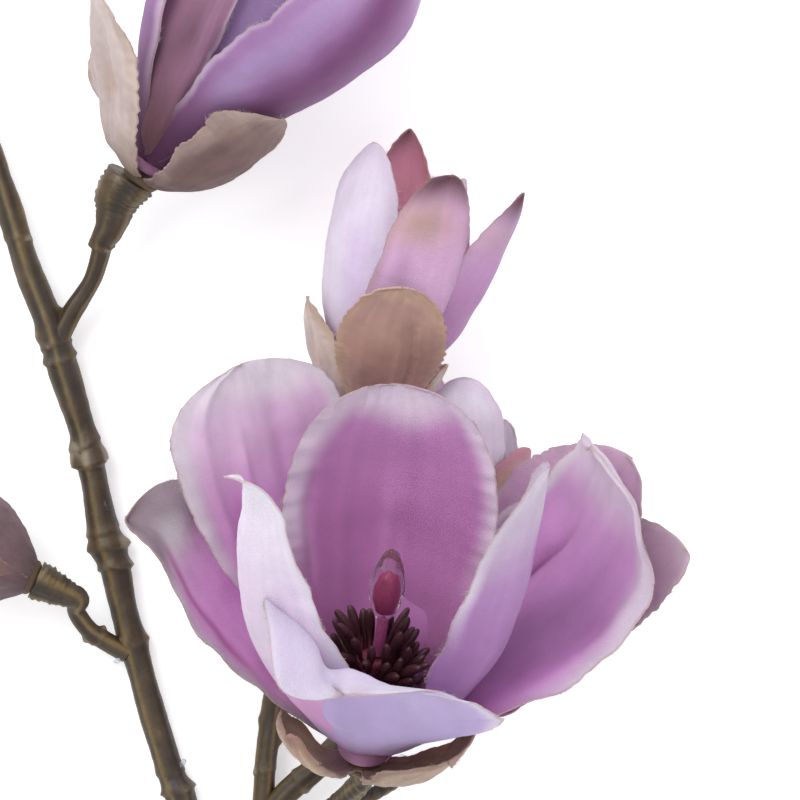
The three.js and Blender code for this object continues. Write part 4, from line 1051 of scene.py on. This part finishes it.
# Ledges: sketch x, y, height, length. Bumps: sketch x, y, angle from level, height, width.
MAIN_LEDGES = [
    (178, 790, 0.7, 1.1), (172, 772, 0.3, 2.0), (135, 642, 0.4, 2.5), (114, 567, 0.9, 1.6),
    (108, 549, 0.7, 3.0), (104, 530, 0.4, 2.0), (91, 462, 1.0, 4.0), (86, 444, 0.3, 2.0),
    (60, 360, 0.5, 1.5), (56, 346, 0.4, 1.2), (20, 240, 0.3, 1.0),
]
MAIN_BUMPS = [
    (117, 545, 180, 1.0, 2.0), (98, 552, 10, 0.8, 2.4), (68, 307, 180, 1.3, 1.0), (36, 338, 0, 1.0, 2.6),
    (150, 640, 170, 0.6, 1.6), (128, 586, 60, 0.4, 2.4), (160, 735, 100, 0.35, 2.0),
    (76, 405, 70, 0.35, 3.0),
]
SIDE_BUD_BUMPS = [(102, 630, 180, 0.9, 0.8), (83, 645, 0, 0.9, 0.8)]
MIDDLE_BUMPS = [(278, 742, 180, 0.9, 1.1), (262, 720, 20, 0.5, 1.4)]
OPEN_LEDGES = [(320, 822, 0.5, 1.0), (306, 838, 0.4, 1.0)]
add_stem("main_stem", 201, MAIN_STEM, TIP_BUD, "tip", MAIN_LEDGES, MAIN_BUMPS)
add_stem("long_bloom_stem", 202, LONG_BLOOM_STEM, LONG_BLOOM, "long", [(103, 247, 0.6, 0.8)])
add_stem("side_bud_stem", 203, SIDE_BUD_STEM, SIDE_BUD, "side", [(100, 638, 0.3, 0.9)], SIDE_BUD_BUMPS, 0.06)
add_stem("middle_stem", 204, MIDDLE_STEM, UPRIGHT_BUD, "upright", [(266, 770, 0.3, 1.2)], MIDDLE_BUMPS)
add_stem("rear_bud_stem", 205, REAR_BUD_STEM, REAR_BUD, "rear", [(300, 780, 0.3, 1.0)])
add_stem("open_bloom_stem", 206, OPEN_BLOOM_STEM, OPEN_BLOOM, "open", OPEN_LEDGES, rough=0.07, screw=0.06)
add_stem("spur_twig", 207, SPUR, rough=0.08, screw=0.05)


# Thin scraps left by the mould: sketch x, y, height, length, width, turn on the plan, tilt.
SCRAP_THICK = 0.22
SCRAPS = [(409, 763, 12.6, 5.6, 3.0, -38, 12), (183, 763, 6.4, 2.2, 1.0, 60, 20),
          (117, 661, 6.9, 1.6, 1.2, 20, 10), (106, 510, 7.0, 4.6, 0.9, 100, 12)]


def scrap_part(x, y, z, length, width, turn, tilt, seed):
    """Clear scrap: a disc grid whose radius wanders round it, bent up at one end, made a thin shell."""
    rows, cols = 16, 25
    u, v = np.meshgrid(np.linspace(-1, 1, rows), np.linspace(-1, 1, cols), indexing="ij")
    wide = np.sqrt(np.maximum(1 - u ** 2, 0.04)) * (1 + 0.22 * waves(seed, u * 4, low=0.5, high=2.2))
    flat = np.stack([u * length / 2, v * wide * width / 2], -1)
    lift = np.tan(tilt * DEG) * flat[..., 0] + 0.12 * waves(seed + 3, u * 3, v * 3)
    c, s = np.cos(turn * DEG), np.sin(turn * DEG)
    level = np.stack([flat[..., 0] * c - flat[..., 1] * s, flat[..., 0] * s + flat[..., 1] * c, lift], -1)
    points, faces, sharp, _, _ = shell(level + place(x, y, z), SCRAP_THICK)
    return dict(points=points, faces=faces, flat=sharp, maps={})


scraps = [scrap_part(*scrap, 300 + k) for k, scrap in enumerate(SCRAPS)]
new_piece("moulding_scraps", scraps, FLASH, None)


# ------------------------------------------------------------------ table, light and camera

TABLE_HALF = 3.0
TABLE_GREY = (0.72, 0.72, 0.73, 1.0)
TABLE_GLOW = 0.46
WHITE_LIGHT = (1.0, 1.0, 1.0, 1.0)
WORLD_STRENGTH = 0.85
AIM = (0.03, 0.05, 0.03)
# Lights: name, place and size in metres, power in watts.
LIGHTS = [("key_light", (-0.55, 0.75, 1.1), 0.9, 12.0), ("fill_light", (0.9, -0.3, 0.9), 1.2, 5.0)]
LENS_MM = 165.64
SENSOR_MM = 36.0
CLIP_START = 0.05


def add_floor():
    """Level table top well past the frame, from four corners."""
    mesh = bpy.data.meshes.new("table_top")
    corners = [(x * TABLE_HALF, y * TABLE_HALF, 0) for x, y in ((-1, -1), (1, -1), (1, 1), (-1, 1))]
    mesh.from_pydata(corners, [], [(0, 1, 2, 3)])
    floor = bpy.data.objects.new("table_top", mesh)
    bpy.context.scene.collection.objects.link(floor)
    material, tree, surface = blank_material("table_white")
    body = node(tree, "BsdfPrincipled", in_Roughness=0.9, in_Base_Color=TABLE_GREY,
                in_Emission_Color=WHITE_LIGHT, in_Emission_Strength=TABLE_GLOW)
    feed(tree, surface, body.outputs[0])
    mesh.materials.append(material)


def add_light(name, at, size, power):
    """Square soft white light aimed at the branch."""
    lamp = bpy.data.lights.new(name, "AREA")
    lamp.size = size
    lamp.energy = power
    light = bpy.data.objects.new(name, lamp)
    bpy.context.scene.collection.objects.link(light)
    light.location = at
    light.rotation_euler = (Vector(AIM) - Vector(at)).to_track_quat("-Z", "Y").to_euler()


def add_world():
    """Even white light from all round."""
    world = bpy.data.worlds.new("studio")
    world.use_nodes = True
    background = world.node_tree.nodes["Background"]
    background.inputs[0].default_value = WHITE_LIGHT
    background.inputs[1].default_value = WORLD_STRENGTH
    bpy.context.scene.world = world
    bpy.context.scene.view_settings.view_transform = "Standard"


def add_camera():
    """Camera straight over the middle of the sketch, looking down."""
    lens = bpy.data.cameras.new("camera")
    lens.lens = LENS_MM
    lens.sensor_width = SENSOR_MM
    lens.sensor_fit = "HORIZONTAL"
    lens.clip_start = CLIP_START
    camera = bpy.data.objects.new("camera", lens)
    camera.location = (SHIFT[0] * MM, SHIFT[1] * MM, EYE_HEIGHT * MM)
    bpy.context.scene.collection.objects.link(camera)
    bpy.context.scene.camera = camera


add_floor()
for lamp in LIGHTS:
    add_light(*lamp)
add_world()
add_camera()
